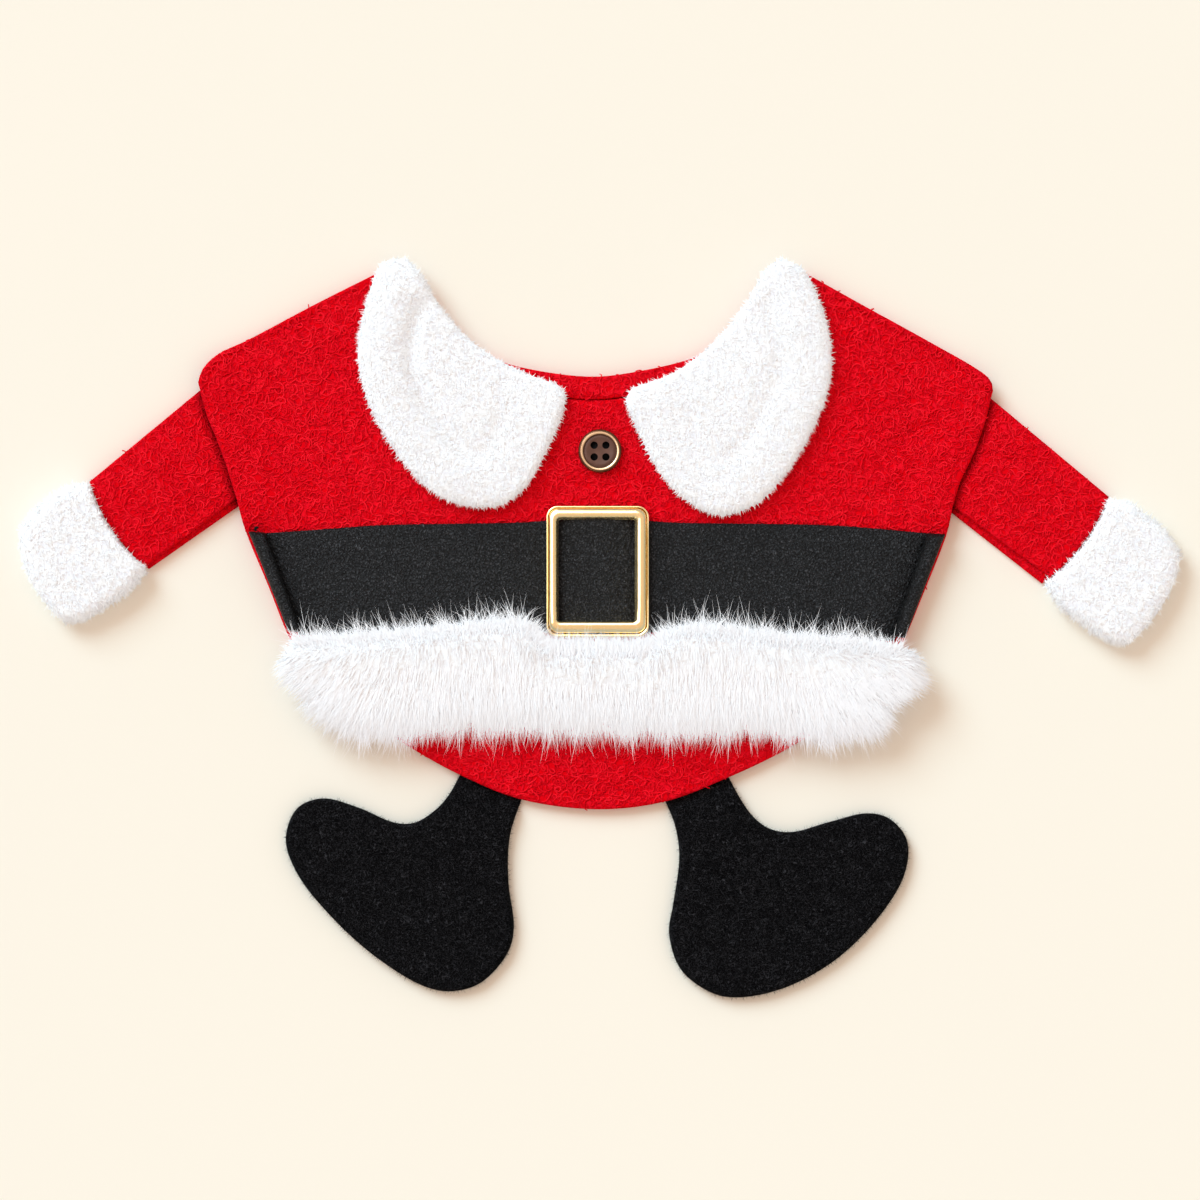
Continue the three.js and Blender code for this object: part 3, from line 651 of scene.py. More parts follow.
SHOULDER_RIGHT = [(137.7, 83), (136.9, 86.5), (131.7, 90.8), (115.6, 100.1), (94, 112), (72.6, 123.9)]
NECKLINE = [(64, 123), (54.2, 112.4), (43.4, 99.6), (33.6, 94.6), (14.1, 89.8), (-2.3, 87.9),
            (-24.4, 90.6), (-36.6, 94), (-45.4, 98.2), (-57.4, 111.6), (-66.5, 123.5)]
BODY_RUNS = [SHOULDER_LEFT, ARMHOLE_LEFT, SIDE_LEFT, BELLY, SIDE_RIGHT, ARMHOLE_RIGHT, SHOULDER_RIGHT]
NECK_RUNS = [[SHOULDER_RIGHT[-1], NECKLINE[0]], NECKLINE, [NECKLINE[-1], SHOULDER_LEFT[0]]]
BODY_SPINES = [
    [(-84, 112), (-104, 84), (-92, 40), (-50, 2), (0, -12), (50, 2), (90, 40), (102, 84), (80, 112)],
    [(0, -12), (0, 55)],
]
body_outline = outline_of(BODY_RUNS + NECK_RUNS, step=9)
print("body:", round(area_of(body_outline) * 1e4), "square centimetres")

# %% The heights
PUFF = 0.9  # how far the front panel stands off the back panel
PUFF_EDGE = 1.0  # distance from the edge at which it starts to rise
PUFF_REACH = 14.0  # and at which it has risen fully
TUCK_FADE = 11.0  # distance over which the front panel comes down from a sleeve's root
CREASE_ENDS = 0.3  # share of a crease's length over which each end fades
# A crease: where it starts and ends, how wide it is to one side, and how deep.
CREASES = [
    ((-126, 79), (-88, 45), 6.0, 1.3),
    ((-120, 57), (-99, 42), 4.5, 0.8),
    ((118, 73), (89, 50), 6.0, 1.3),
    ((112, 54), (92, 41), 4.5, 0.9),
]


def front_under(at):
    """The front panel's underside: the back panel, a gap, the puff less the creases, the lift."""
    rise = PUFF * ease(depth_in(body_outline, at), PUFF_EDGE, PUFF_REACH)
    armhole = np.minimum(nearest(ARMHOLE_LEFT, at)[1], nearest(ARMHOLE_RIGHT, at)[1])
    lift = (TERRY + GAP) * (1.0 - ease(armhole, TUCK, TUCK + TUCK_FADE))
    fold = np.zeros(len(at))
    for start, stop, half_width, depth in CREASES:
        _, far, share = nearest([start, stop], at)
        along = ease(share, 0.0, CREASE_ENDS) * ease(1.0 - share, 0.0, CREASE_ENDS)
        fold += depth * along * (1.0 - ease(far, 0.0, half_width))
    return TERRY + GAP + lift + rise - np.minimum(fold, rise)


def on_front(at):
    """What lies on the front panel starts here."""
    return front_under(at) + TERRY + GAP


def on_belt(at):
    """The belt and its ends lie a little looser."""
    return on_front(at) + BELT_EASE


def on_floor(at):
    """What lies on the floor starts at nothing."""
    return np.zeros(len(at))


def even(thickness):
    """The same thickness everywhere."""
    return lambda at, depth: np.full(len(at), thickness)


print("front panel's underside at the middle:", front_under(np.array([[0.0, 20.0]])).round(2), "mm")

# %% [markdown]
# Red curly terry
#
# The cloth is knitted with loops of yarn that curl in all directions. Its ground is painted darker
# than the loops on it, as painted shade between them and painted light on them. The loops that show
# are real tubes, and the ground under them and all of the hidden side get the same curls from a
# noise whose middle level is drawn as lines.

# %% Terry finishes
def threads(place, scale, width, **swells):
    """Curly lines on a surface: bright where a warped noise passes its middle value."""
    return 1.0 - smooth(abs(noise(place, scale, **swells) - 0.5), 0.0, width)


def terry_finish():
    """Deep red ground in painted shade, with curly lines that stand up from it in painted light."""
    material, place = blank("red_terry")
    first = threads(place, 330.0, 0.075, detail=1.0, distortion=0.7)
    second = threads(place, 390.0, 0.075, detail=1.0, distortion=0.7, shift=3.7)
    curls = place.math("MAXIMUM", first, second)
    drift = noise(place, 26.0)
    ground = blend(drift, paint(220, 2, 14), paint(236, 4, 22))
    # Painted light and shade: the raised curly lines are painted lighter than the ground between them
    colour = blend(curls, ground, paint(240, 15, 36))
    # Painted shade beside the armhole, where the sleeve meets the body's edge
    colour = blend(own(place, "armhole_shade"), colour, paint(150, 0, 10))
    grain = curls + 0.25 * noise(place, 2400.0)
    surfaced(place, {"Base Color": colour, "Roughness": 0.95, "Specular IOR Level": 0.02},
             height=grain, depth=0.0004)
    return material


def yarn_finish():
    """The curled yarn on top: a lighter red as painted light, each curl a little different."""
    material, place = blank("red_yarn")
    tone = own(place, "tone")
    # Painted light: the loops are a lighter red than the cloth's ground
    colour = blend(tone, paint(232, 2, 22), paint(255, 24, 42))
    # Painted shade beside the armhole
    colour = blend(own(place, "armhole_shade"), colour, paint(170, 0, 14))
    surfaced(place, {"Base Color": colour, "Roughness": 0.9, "Specular IOR Level": 0.04})
    return material


red_terry = terry_finish()
red_yarn = yarn_finish()
print("terry mixed")

# %% [markdown]
# The body
#
# Two panels of the same cut lie on each other, and a narrow strip binds the neck. The back panel
# stops short of the sleeves' roots and the boots' tops, which are sewn in beside it. Along each
# shoulder the cloth is pulled thin by a seam, so the front panel's wall has a shallow groove there.

# %% The body
SEAM_IN = 2.3  # from the shoulder's edge to its seam
SEAM_HALF = 0.7
SEAM_DEEP = 0.6
FRONT_EDGE = 1.2  # how far in from its edge the cloth is rounded
neckline = curve(NECKLINE, 3.5)
band_seam = beside(neckline, BAND_WIDTH + GAP)
front_outline = np.vstack([outline_of(BODY_RUNS, 2.5), [SHOULDER_RIGHT[-1]], band_seam])
shoulder_lines = [curve(run, 6) for run in (SHOULDER_LEFT, SHOULDER_RIGHT)]


def front_wall(at, depth):
    """The terry's wall, thinner along the seam that runs beside each shoulder's edge."""
    far = np.min([nearest(line, at)[1] for line in shoulder_lines], axis=0)
    return TERRY - SEAM_DEEP * np.exp(-(((far - SEAM_IN) / SEAM_HALF) ** 2))


def front_panel():
    """The visible half of the body."""
    points, faces, _ = panel(front_outline, BODY_SPINES, front_under, front_wall, edge=FRONT_EDGE,
                             steps=[0.15, 0.4, 0.8, 1.2, 2.3, 3.6], spacing=2.4)
    thing = piece("front_panel_cloth", mesh_from("front_panel_cloth", points, faces), red_terry,
                  "terry", "front_panel")


def armhole_line(armhole, inset):
    """The line that a sleeve's root and the back panel's armhole share."""
    return beside(curve(armhole, 3.5), inset)


def back_panel():
    """The half of the body that lies underneath, cut back for the sleeves' roots and the boots."""
    outline = np.vstack([
        curve(SHOULDER_LEFT, 4.5)[:-1],
        armhole_line(ARMHOLE_LEFT, TUCK + GAP),
        curve(SIDE_LEFT, 4.5)[1:-1],
        beside(curve(BELLY, 4.5), BOOT_TUCK + GAP)[1:-1],
        curve(SIDE_RIGHT, 4.5)[:-1],
        armhole_line(ARMHOLE_RIGHT, TUCK + GAP),
        curve(SHOULDER_RIGHT, 4.5)[1:],
        neckline,
    ])
    points, faces, _ = panel(outline, BODY_SPINES, on_floor, even(TERRY), edge=1.0,
                             steps=[0.3, 0.6, 1.0], spacing=6.0)
    thing = piece("back_panel_cloth", mesh_from("back_panel_cloth", points, faces), red_terry,
                  "terry", "back_panel")


def neck_band():
    """The narrow strip that binds the neck, slightly crowned."""
    outline = np.vstack([neckline, beside(neckline, BAND_WIDTH)[::-1]])

    def wall(at, depth):
        return TERRY + BAND_CROWN * ease(depth, 0.0, BAND_WIDTH / 2)

    points, faces, _ = panel(outline, [beside(neckline, BAND_WIDTH / 2)], front_under, wall,
                             edge=FRONT_EDGE, steps=[0.15, 0.4, 0.8, 1.2, 2.0, 2.8], spacing=2.0)
    thing = piece("neck_band_cloth", mesh_from("neck_band_cloth", points, faces), red_terry,
                  "terry", "neck_band")
    return outline


back_panel()
front_panel()
band_outline = neck_band()
print("front panel's cut:", round(area_of(front_outline) * 1e4), "square centimetres")

# %% [markdown]
# Sleeves
#
# A short sleeve lies in two layers. The front layer is a little shorter at its lower edge, so
# the back layer shows beneath it. Each layer is a panel between the armhole and the cuff's seam.

# %% Where sleeves and cuffs lie
CUFFS = {
    "left": {"base": (-167.9, 35.7), "heading": (-25.9, -17.5), "length": 36.0, "seam_half": 18.7,
             "half": 21.2, "bow": 3.0, "skew": 4.0, "drop": 15.0},
    "right": {"base": (167.0, 30.5), "heading": (23.5, -18.0), "length": 37.4, "seam_half": 19.4,
              "half": 21.9, "bow": 2.8, "skew": -5.0, "drop": 13.0},
}
SLEEVES = {"left": {"near_body": 2.8, "near_cuff": 1.2}, "right": {"near_body": 1.8, "near_cuff": 3.4}}
ARMHOLES = {"left": ARMHOLE_LEFT, "right": ARMHOLE_RIGHT}
CUFF_SEAM_POINTS = 17


def on_cuff(shape, along, across):
    """A spot on the floor from its distances along a cuff's heading and across it."""
    ahead = unit(np.array(shape["heading"], float))
    along, across = np.asarray(along, float)[..., None], np.asarray(across, float)[..., None]
    return np.array(shape["base"]) + ahead * along + np.array([-ahead[1], ahead[0]]) * across


def seam_bow(shape, across):
    """How far the seam with the sleeve bows out: bow (1 - (across / half seam) squared)."""
    return shape["bow"] * (1.0 - np.minimum(1.0, (across / shape["seam_half"]) ** 2))


def toward(start, stop, far):
    """The spot a distance away from start on the way to stop."""
    return start + unit(stop - start) * far


def sleeve_outline(side, layer):
    """From the shoulder along the top edge, down the cuff's seam, back, and up the armhole."""
    shape = CUFFS[side]
    down = np.sign((on_cuff(shape, 0, 1) - on_cuff(shape, 0, -1))[1])
    root = armhole_line(ARMHOLES[side], TUCK)
    if root[0][1] < root[-1][1]:
        root = root[::-1]
    across = down * np.linspace(1.0, -1.0, CUFF_SEAM_POINTS) * (shape["seam_half"] - GAP)
    seam = on_cuff(shape, seam_bow(shape, across) - 1.5 * GAP, across)
    inset_far = SLEEVES[side]["near_cuff"] if layer == "front" else 0.0
    inset_near = SLEEVES[side]["near_body"] if layer == "front" else 0.0
    low_far = toward(seam[-1], seam[0], inset_far)
    low_near = toward(root[-1], root[0], inset_near)
    parts = [curve([root[0], seam[0]], 3)[:-1], seam[:-1], curve([low_far, low_near], 3)[:-1]]
    return np.vstack([*parts, [low_near], root[1:-1][::-1]]), root


print("cuffs", CUFFS["left"]["length"], "and", CUFFS["right"]["length"], "mm long")

# %% Sleeves
SLEEVE_PUFF = 0.9
SLEEVE_EDGE = 1.0
SLEEVE_SPINE = {"from_root": 9.0, "from_cuff": 11.0}


def armhole_shade_at(at):
    """A sleeve's painted shade by its armhole: 1 at the body's edge, 0 from 3.4 mm outside it."""
    return 1.0 - ease(-depth_in(body_outline, at), 0.2, 3.4)


def sleeve_puff(depth):
    """How far a sleeve's front layer stands up, at a distance in from its edge."""
    return SLEEVE_PUFF * ease(depth, 2.0, 13.0)


def sleeve(side, layer):
    """One layer of a sleeve; the front one is slightly puffed."""
    outline, root = sleeve_outline(side, layer)
    middle = on_cuff(CUFFS[side], 0, 0)
    start = root[len(root) // 2]
    spine = [toward(start, middle, SLEEVE_SPINE["from_root"]),
             toward(middle, start, SLEEVE_SPINE["from_cuff"])]
    lies_on = TERRY + GAP if layer == "front" else 0.0

    def wall(at, depth):
        return TERRY + (sleeve_puff(depth) if layer == "front" else 0.0)

    points, faces, _ = panel(outline, [spine], lambda at: np.full(len(at), lies_on), wall,
                             edge=SLEEVE_EDGE, steps=[0.15, 0.4, 0.7, 1.0, 2.0], spacing=2.4,
                             flat_below=True)
    name = f"sleeve_{side}_{layer}"
    # Painted shade beside the armhole, carried by the mesh
    marks = {"armhole_shade": armhole_shade_at(points[:, :2])}
    thing = piece(f"{name}_cloth", mesh_from(name, points, faces, marks), red_terry, "terry", name)
    size = outline.max(axis=0) - outline.min(axis=0)
    tuple(size * MM)
    return outline


sleeve_fronts = {}
for side in SIDES:
    sleeve(side, "back")
    sleeve_fronts[side] = sleeve(side, "front")

# %% [markdown]
# Plush collar
#
# The collar is two halves of thick white plush with a border that rolls over. Each half is a
# panel whose wall swells beside its outer edge and dips where the roll meets the flat part. The
# pile is made later as thousands of small pointed tufts.

# %% White finishes
# Painted glow: emission that brightens the white ground and its pile
GROUND_GLOW = 0.08
PILE_GLOW = 0.21


def glowing(place, colour, roughness, glow, **raised):
    """Ends a white material with a painted glow, for light that passes through the pile."""
    surfaced(place, {"Base Color": colour, "Roughness": roughness, "Specular IOR Level": 0.05,
                     "Emission Color": colour, "Emission Strength": glow}, **raised)


def white_finish(name, shade, light, grain_scale):
    """A white pile's ground: light on the whole, greyer in its hollows as painted shade."""
    material, place = blank(name)
    hollows = smooth(noise(place, grain_scale, detail=3.0, distortion=0.4), 0.35, 0.65)
    # Painted shade: greyer where the bump is low
    glowing(place, blend(hollows, shade, light), 1.0, GROUND_GLOW, height=hollows, depth=0.0003)
    return material


def pile_finish(name, root, tip):
    """A hair: shaded at its root and light from there on, each hair a little different."""
    material, place = blank(name)
    light = smooth(own(place, "tip") + 0.35 * own(place, "tone"), 0.0, 0.6)
    glowing(place, blend(light, root, tip), 0.9, PILE_GLOW)
    return material


plush_ground = white_finish("plush_ground", paint(244, 247, 255), paint(251, 253, 255), 420.0)
plush_pile = pile_finish("plush_pile", paint(248, 251, 255), paint(253, 254, 255))
print("plush mixed")

# %% Collar
COLLAR = {"wall": 4.2, "roll": 1.3, "roll_width": 18.5, "trough": 1.2, "trough_half": 4.6, "edge": 3.4}
COLLARS = {
    "left": {
        "edge": [(-67.4, 129.2), (-75.5, 127.1), (-80.6, 114.5), (-83.9, 99.1), (-82.8, 87),
                 (-77.2, 72), (-67.4, 57.1), (-58, 47.7), (-47.5, 43.1), (-34.2, 43.1), (-25, 50),
                 (-18.1, 62.3), (-12.5, 75.5), (-11.8, 82), (-14.6, 85.1)],
        "inner": [(-14.6, 85.1), (-28.6, 90.3), (-44, 99.8), (-55.9, 113.1), (-62.2, 124),
                  (-67.4, 129.2)],
        "spine": [(-72, 118), (-68, 98), (-58, 80), (-43, 68), (-26, 71)],
        "roll_share": 1.0,
    },
    "right": {
        "edge": [(63.8, 129.2), (71.2, 125.3), (77.4, 112.8), (81, 98), (80.3, 84.5), (75, 70.4),
                 (64.5, 52.9), (54.5, 43.2), (41.8, 39.6), (30, 45.2), (20.1, 56.4), (14, 68.5),
                 (9.6, 79.8), (11.7, 83.7)],
        "inner": [(11.7, 83.7), (27.1, 89.6), (41.8, 101.2), (52.3, 114.5), (58.4, 125),
                  (63.8, 129.2)],
        "spine": [(69, 118), (66, 98), (56, 79), (41, 66), (23, 71)],
        "roll_share": 0.45,
    },
}


def collar_outline(side, step):
    """The outer edge from the shoulder tip to the front corner, then the inner edge back."""
    return outline_of([COLLARS[side]["edge"], COLLARS[side]["inner"]], step)


def collar(side):
    """One half of the collar: a roll beside its outer edge, and a trough where the roll ends."""
    shape = COLLARS[side]
    edge_line = curve(shape["edge"], 3)
    width = COLLAR["roll_width"]

    def wall(at, depth):
        outer = nearest(edge_line, at)[1]
        hill = COLLAR["roll"] * np.sin(math.pi * np.clip(outer / width, 0, 1)) ** 2
        ditch = COLLAR["trough"] * (1 - ease(abs(outer - width), 0, COLLAR["trough_half"]))
        rolled = 0.25 + 0.75 * ease(abs(at[:, 0]), 32, 52)  # less at the front corners
        return COLLAR["wall"] + shape["roll_share"] * rolled * (hill - ditch * ease(depth, 1, 6))

    outline = collar_outline(side, 2.0)
    points, faces, tops = panel(outline, [shape["spine"]], lambda at: on_front(at) + BAND_CROWN, wall,
                                edge=COLLAR["edge"], steps=[0.15, 0.45, 0.9, 1.5, 2.3, 3.4],
                                spacing=1.6, below=0.4)
    name = f"collar_{side}"
    thing = piece(f"{name}_cloth", mesh_from(name, points, faces), plush_ground, "plush", name)
    return thing, points, tops, outline


collars = {side: collar(side) for side in SIDES}

# %% [markdown]
# Cuffs
#
# A cuff is a short tube of thick plush that lies flat, with an open mouth. A flattened cylinder
# would do, but its ends would be sharp. Here the section of the wall, with its rounded rims, is
# carried round the tube: over the top, round one fold, back underneath, and round the other.

# %% Cuffs
CUFF_WALL = 4.1
CUFF_SLIT = 0.8  # the hollow between the two walls
CUFF_ROUND = 12  # steps round a fold
CUFF_FLAT = 22  # steps across the top, and as many underneath
CUFF_TAPER = 0.08  # how much the mouth narrows, as a share of the half width
CUFF_SECTION = [
    (0.02, 0.9, 0), (0.0, 0.4, 0.4), (0.01, 0.4, 0.75), (0.04, -0.35, 1), (0.09, -0.1, 1),
    (0.16, 0, 1), (0.3, 0, 1), (0.5, 0, 1), (0.7, 0, 1), (0.84, -0.15, 1), (0.92, -0.5, 1),
    (0.97, -1.1, 1), (1.0, -2.0, 1), (0.99, 0.9, 0.15), (0.96, 0.5, 0), (0.9, 0, 0),
    (0.5, 0, 0), (0.1, 0, 0),
]


def cuff(side):
    """A flat tube with an open mouth: the wall's section carried round the two folded sides.

    A section's point has a share of the way from the seam to the mouth, a lift in millimetres,
    and a share of the way out through the wall.
    """
    shape = CUFFS[side]
    inner, outer = CUFF_SLIT / 2, CUFF_SLIT / 2 + CUFF_WALL
    turns = math.pi * (np.arange(CUFF_ROUND) / CUFF_ROUND - 0.5)
    turn = np.concatenate([turns, np.full(CUFF_FLAT, math.pi / 2)])
    flat = np.concatenate([np.ones(CUFF_ROUND), 1 - 2 * np.arange(CUFF_FLAT) / CUFF_FLAT])
    turn, flat = np.concatenate([turn, -turn]), np.concatenate([flat, -flat])
    share, lift, through = np.array(CUFF_SECTION).T
    radius = inner + (outer - inner) * through + lift
    swell = shape["seam_half"] + (shape["half"] - shape["seam_half"]) * ease(share, 0, 0.3)
    swell = swell - CUFF_TAPER * shape["half"] * ease(share, 0.75, 1)
    sign = np.sign(flat)[:, None]
    across = flat[:, None] * (swell - outer) + np.cos(turn)[:, None] * radius * sign
    lean = np.clip(abs(across - shape["skew"]) / (shape["half"] + abs(shape["skew"])), 0, 1)
    end = shape["length"] - shape["drop"] * (1 - np.sqrt(1 - lean**2))
    start = seam_bow(shape, across)
    xy = on_cuff(shape, start + (end - start) * share, across)
    rings = np.concatenate([xy, (outer + np.sin(turn)[:, None] * radius)[..., None]], axis=2)
    points, faces = loft(rings, closed=True)
    name = f"cuff_{side}"
    thing = piece(f"{name}_cloth", mesh_from(name, points, faces), plush_ground, "plush", name)
    return thing, points, faces[0]


cuffs = {side: cuff(side) for side in SIDES}

# %% [markdown]
# Belt
#
# The belt is a strip of grained black leatherette that runs under the buckle's sides and over
# its centre bar, so it bulges in the buckle's window. A flat strip with a bump would show no
# edge, so a loft carries the strip's section, with its rounded edges, from end to end.

# %% Leather
def leather_finish():
    """Black leatherette: pebbles from a cell texture, glossier on top, and fine pale wrinkles."""
    material, place = blank("black_leather")
    cells = place.node("ShaderNodeTexVoronoi", {"feature": "SMOOTH_F1"},
                       {"Vector": place, "Scale": 1350.0, "Smoothness": 0.5}, output="Distance")
    pebbles = smooth(cells, 0.15, 0.75)
    wrinkles = threads(place, 880.0, 0.1, distortion=1.2)
    worn = noise(place, 60.0, detail=3.0)
    top = blend(wrinkles, blend(worn, paint(3, 4, 5), paint(8, 9, 11)), paint(80, 81, 85))
    colour = blend(pebbles, top, paint(6, 6, 8))
    # Painted shade: near-black beside each end roll and along the roll's edges
    colour = blend(own(place, "roll_shade"), colour, paint(2, 2, 3))
    surfaced(place, {"Base Color": colour, "Roughness": 0.34 + 0.2 * pebbles,
                     "Specular IOR Level": 0.2}, height=(1.0 - pebbles) + wrinkles, depth=0.0004)
    return material


black_leather = leather_finish()
print("leather mixed")

# %% Belt
BELT_EDGES = [
    ([(-117.4, 33.1), (-92.6, 34.8), (-77.9, 35.9), (-25, 37.0), (-16, 37.8)],
     [(-104.5, -2.5), (-85, -2.5), (-60, -0.9), (-40, 1.2), (-25, 1.4), (-21, -1.2), (-16, -1.6)]),
    ([(14.7, 37.8), (23.5, 37.0), (78.5, 36), (96.7, 34.8), (115.7, 33.0)],
     [(14.7, -1.8), (20.5, -1.4), (28, -0.3), (42, -0.2), (60, -2.2), (85, -4.1), (103.4, -4.4)]),
]
BELT_ENDS = {
    "left": [(-122.2, 33.8), (-116.3, 33.4), (-103.3, -1.6), (-108.4, -1)],
    "right": [(121, 32.8), (114.6, 33.2), (102.3, -3), (107, -3.4)],
}
BELT_ARCH = 0.4  # how much wider the strip is where it bulges
BELT_PINCH = 0.6  # how far the stitches press it down beside the rolls
BELT_STEPS = {"side": 36, "window": 32}
BELT_ACROSS = [0.004, 0.012, 0.03, 0.08, 0.18, 0.33, 0.5, 0.67, 0.82, 0.92, 0.97, 0.988, 0.996]
BELT_EDGE_LIFTS = [0.75, 0.93]  # share of the wall at the two spots nearest to each edge
BUCKLE = {
    "outer": {"left": -18.2, "right": 17.6, "low": -3.2, "high": 42.7, "corner": 4.0},
    "inner": {"left": -13.9, "right": 12.6, "low": 2.6, "high": 37.8, "corner": 0.8},
    "bar_half": 1.6,
    "bar_height": 1.5,
}


def belt_hump(x):
    """The belt's bulge over the buckle's bar: rise (1 - share squared) ** 0.6 across the window."""
    left, right = BUCKLE["inner"]["left"] + 0.6, BUCKLE["inner"]["right"] - 0.6
    share = (2 * x - left - right) / (right - left)
    return (BUCKLE["bar_height"] + 3 * GAP) * np.clip(1 - share**2, 0, 1) ** 0.6


def belt():
    """The strip between its two edges, carried from the left end to the right end."""
    sides = [[resampled(curve(edge, 1), BELT_STEPS["side"]) for edge in pair] for pair in BELT_EDGES]
    share = np.linspace(0, 1, BELT_STEPS["window"] + 1)[1:-1, None]
    middle = [sides[0][k][-1] + (sides[1][k][0] - sides[0][k][-1]) * share for k in (0, 1)]
    tops, lows = (np.vstack([sides[0][k], middle[k], sides[1][k]]) for k in (0, 1))
    lifts = np.ones(len(BELT_ACROSS))
    lifts[:2] = BELT_EDGE_LIFTS
    lifts[-2:] = BELT_EDGE_LIFTS[::-1]
    around = np.concatenate([[0], BELT_ACROSS, [1], BELT_ACROSS[::-1]])
    height = np.concatenate([[0.5], lifts, [0.5], 1 - lifts]) * BELT_WALL
    arch = BELT_ARCH * belt_hump(lows[:, :1]) / belt_hump(np.array([0.0])) * [0, 1]
    tops, lows = tops + arch, lows - arch
    xy = lows[:, None] + (tops - lows)[:, None] * around[:, None]
    flat = xy.reshape(-1, 2)
    rolls = [(np.array(corners[1]), np.array(corners[2])) for corners in BELT_ENDS.values()]
    near = np.min([nearest(line, flat)[1] for line in rolls], axis=0)
    pinch = 1.0 - BELT_PINCH * (1.0 - ease(near, 1.5, 2.8)).reshape(xy.shape[:2])
    z = on_belt(flat).reshape(xy.shape[:2]) + belt_hump(xy[..., 0]) + height * pinch
    points, faces = loft(np.concatenate([xy, z[..., None]], axis=2))
    near = np.min([nearest(line, points[:, :2])[1] for line in rolls], axis=0)
    # Painted shade on the belt beside each end roll
    marks = {"roll_shade": 1.0 - ease(near, 0.5, 1.6)}
    thing = piece("belt_strip", mesh_from("belt_strip", points, faces, marks), black_leather,
                  "leather", "belt")


belt()

# %% [markdown]
# Belt ends
#
# Each end is folded under and sewn down, which leaves a narrow roll with a row of stitches in
# the groove beside it. The stitches are short thick tubes that climb from the belt on to the
# roll, and the thread is knotted off above the left roll.

# %% Belt ends and stitches
END_WALL = 4.5
END_SPINE = 0.07  # share of the roll's length that its spine stops short of each end
STITCH = {"pitch": 3.2, "back": 0.9, "slant": 0.35, "length": 2.0, "radius": 0.28, "points": 7}
KNOT = {"middle": (-119.3, 34.7), "reach": (0.45, 0.5), "turn": 1.6 * math.pi, "radius": 0.5}
UPWARDS = np.array([0.0, 0.0, 1.0])


def thread_finish():
    """Black sewing thread, a little shiny."""
    material, place = blank("black_thread")
    surfaced(place, {"Base Color": blend(noise(place, 900.0), paint(5, 5, 7), paint(16, 16, 18)),
                     "Roughness": 0.8, "Specular IOR Level": 0.1})
    return material


black_thread = thread_finish()


def stitch_lines(corners):
    """The stitches' paths and radii, from the belt on to the roll beside it."""
    outer_top, inner_top, inner_low, outer_low = corners
    count = int(np.linalg.norm(inner_low - inner_top) / STITCH["pitch"])
    spots = inner_top + (inner_low - inner_top) * ((np.arange(count) + 0.5) / count)[:, None]
    inward = unit((inner_low + inner_top) / 2 - (outer_low + outer_top) / 2)
    ahead = unit(inner_low - inner_top)
    s = np.linspace(-0.5, 0.5, STITCH["points"])
    starts = spots - inward * STITCH["back"]
    along = (ahead * STITCH["slant"] + inward)[None, None] * (s[:, None] + 0.5) * STITCH["length"]
    z = on_belt(spots)[:, None] + BELT_WALL + (0.45 + 1.3 * (0.5 - s)) - 0.3
    radius = STITCH["radius"] * np.sqrt(1 - (1.9 * s) ** 2 * 0.9)
    return np.concatenate([starts[:, None] + along, z[..., None]], axis=2), np.tile(radius, (count, 1))


def with_knot(paths, radii):
    """The same stitches and a knot: one more path, which turns round on itself."""
    turn = np.linspace(0, KNOT["turn"], STITCH["points"])
    circle = np.column_stack([np.cos(turn), np.sin(turn)]) * KNOT["reach"] + KNOT["middle"]
    knot = np.column_stack([circle, np.full(len(turn), paths[..., 2].max())])
    return np.concatenate([paths, knot[None]]), np.vstack([radii, np.full(len(turn), KNOT["radius"])])


def belt_end(side):
    """A folded end: a narrow roll with painted shade at its edges, stitches in the hollow by the belt."""
    corners = np.array(BELT_ENDS[side])
    top, low_end = (corners[0] + corners[1]) / 2, (corners[3] + corners[2]) / 2
    outline = outline_of([[corners[k], corners[(k + 1) % 4]] for k in range(4)], 1.6)
    spine = [top + (low_end - top) * END_SPINE, low_end + (top - low_end) * END_SPINE]
    points, faces, _ = panel(outline, [spine], on_belt, even(END_WALL), edge=2.95,
                             steps=[0.15, 0.4, 0.8, 1.3, 1.9, 2.5], spacing=1.5, below=0.3)
    name = f"belt_end_{side}"
    # Painted shade along the roll's edges
    marks = {"roll_shade": 1.0 - ease(depth_in(outline, points[:, :2]), 0.3, 1.9)}
    thing = piece(f"{name}_roll", mesh_from(name, points, faces, marks), black_leather, "leather", name)
    paths, radii = stitch_lines(corners)
    if side == "left":
        paths, radii = with_knot(paths, radii)
    points, faces, _, _ = tubes(paths, radii, sides=6, roll=np.tile(UPWARDS, (len(paths), 1)))
    stitches = piece(f"{name}_stitches", mesh_from(f"{name}_stitches", points, faces), black_thread,
                     "leather")


for side in SIDES:
    belt_end(side)

# %% [markdown]
# Buckle
#
# The buckle is one polished casting: a thin bead round the outside, a groove, and a broad
# rounded bevel. A bevelled box would have one even edge, so its section is drawn here and
# carried round between two rounded rectangles.

# %% Metal
def gold_finish():
    """Polished pale gold with the faint clouding of a plated casting."""
    material, place = blank("pale_gold")
    cloud = noise(place, 140.0, detail=3.0)
    surfaced(place, {"Base Color": blend(cloud, paint(250, 226, 168), paint(255, 236, 188)),
                     "Metallic": 1.0, "Roughness": 0.15 + 0.1 * cloud},
             height=noise(place, 420.0), depth=0.00004)
    return material


pale_gold = gold_finish()
print("gold mixed")

# %% Buckle
LOWER_LIP = 0.16  # how much the bevel's crown moves inwards on the lower side
BUCKLE_SPOT = np.array([[0.0, 20.0]])  # where the belt's height is read off for it
BAR_SIDES = 16
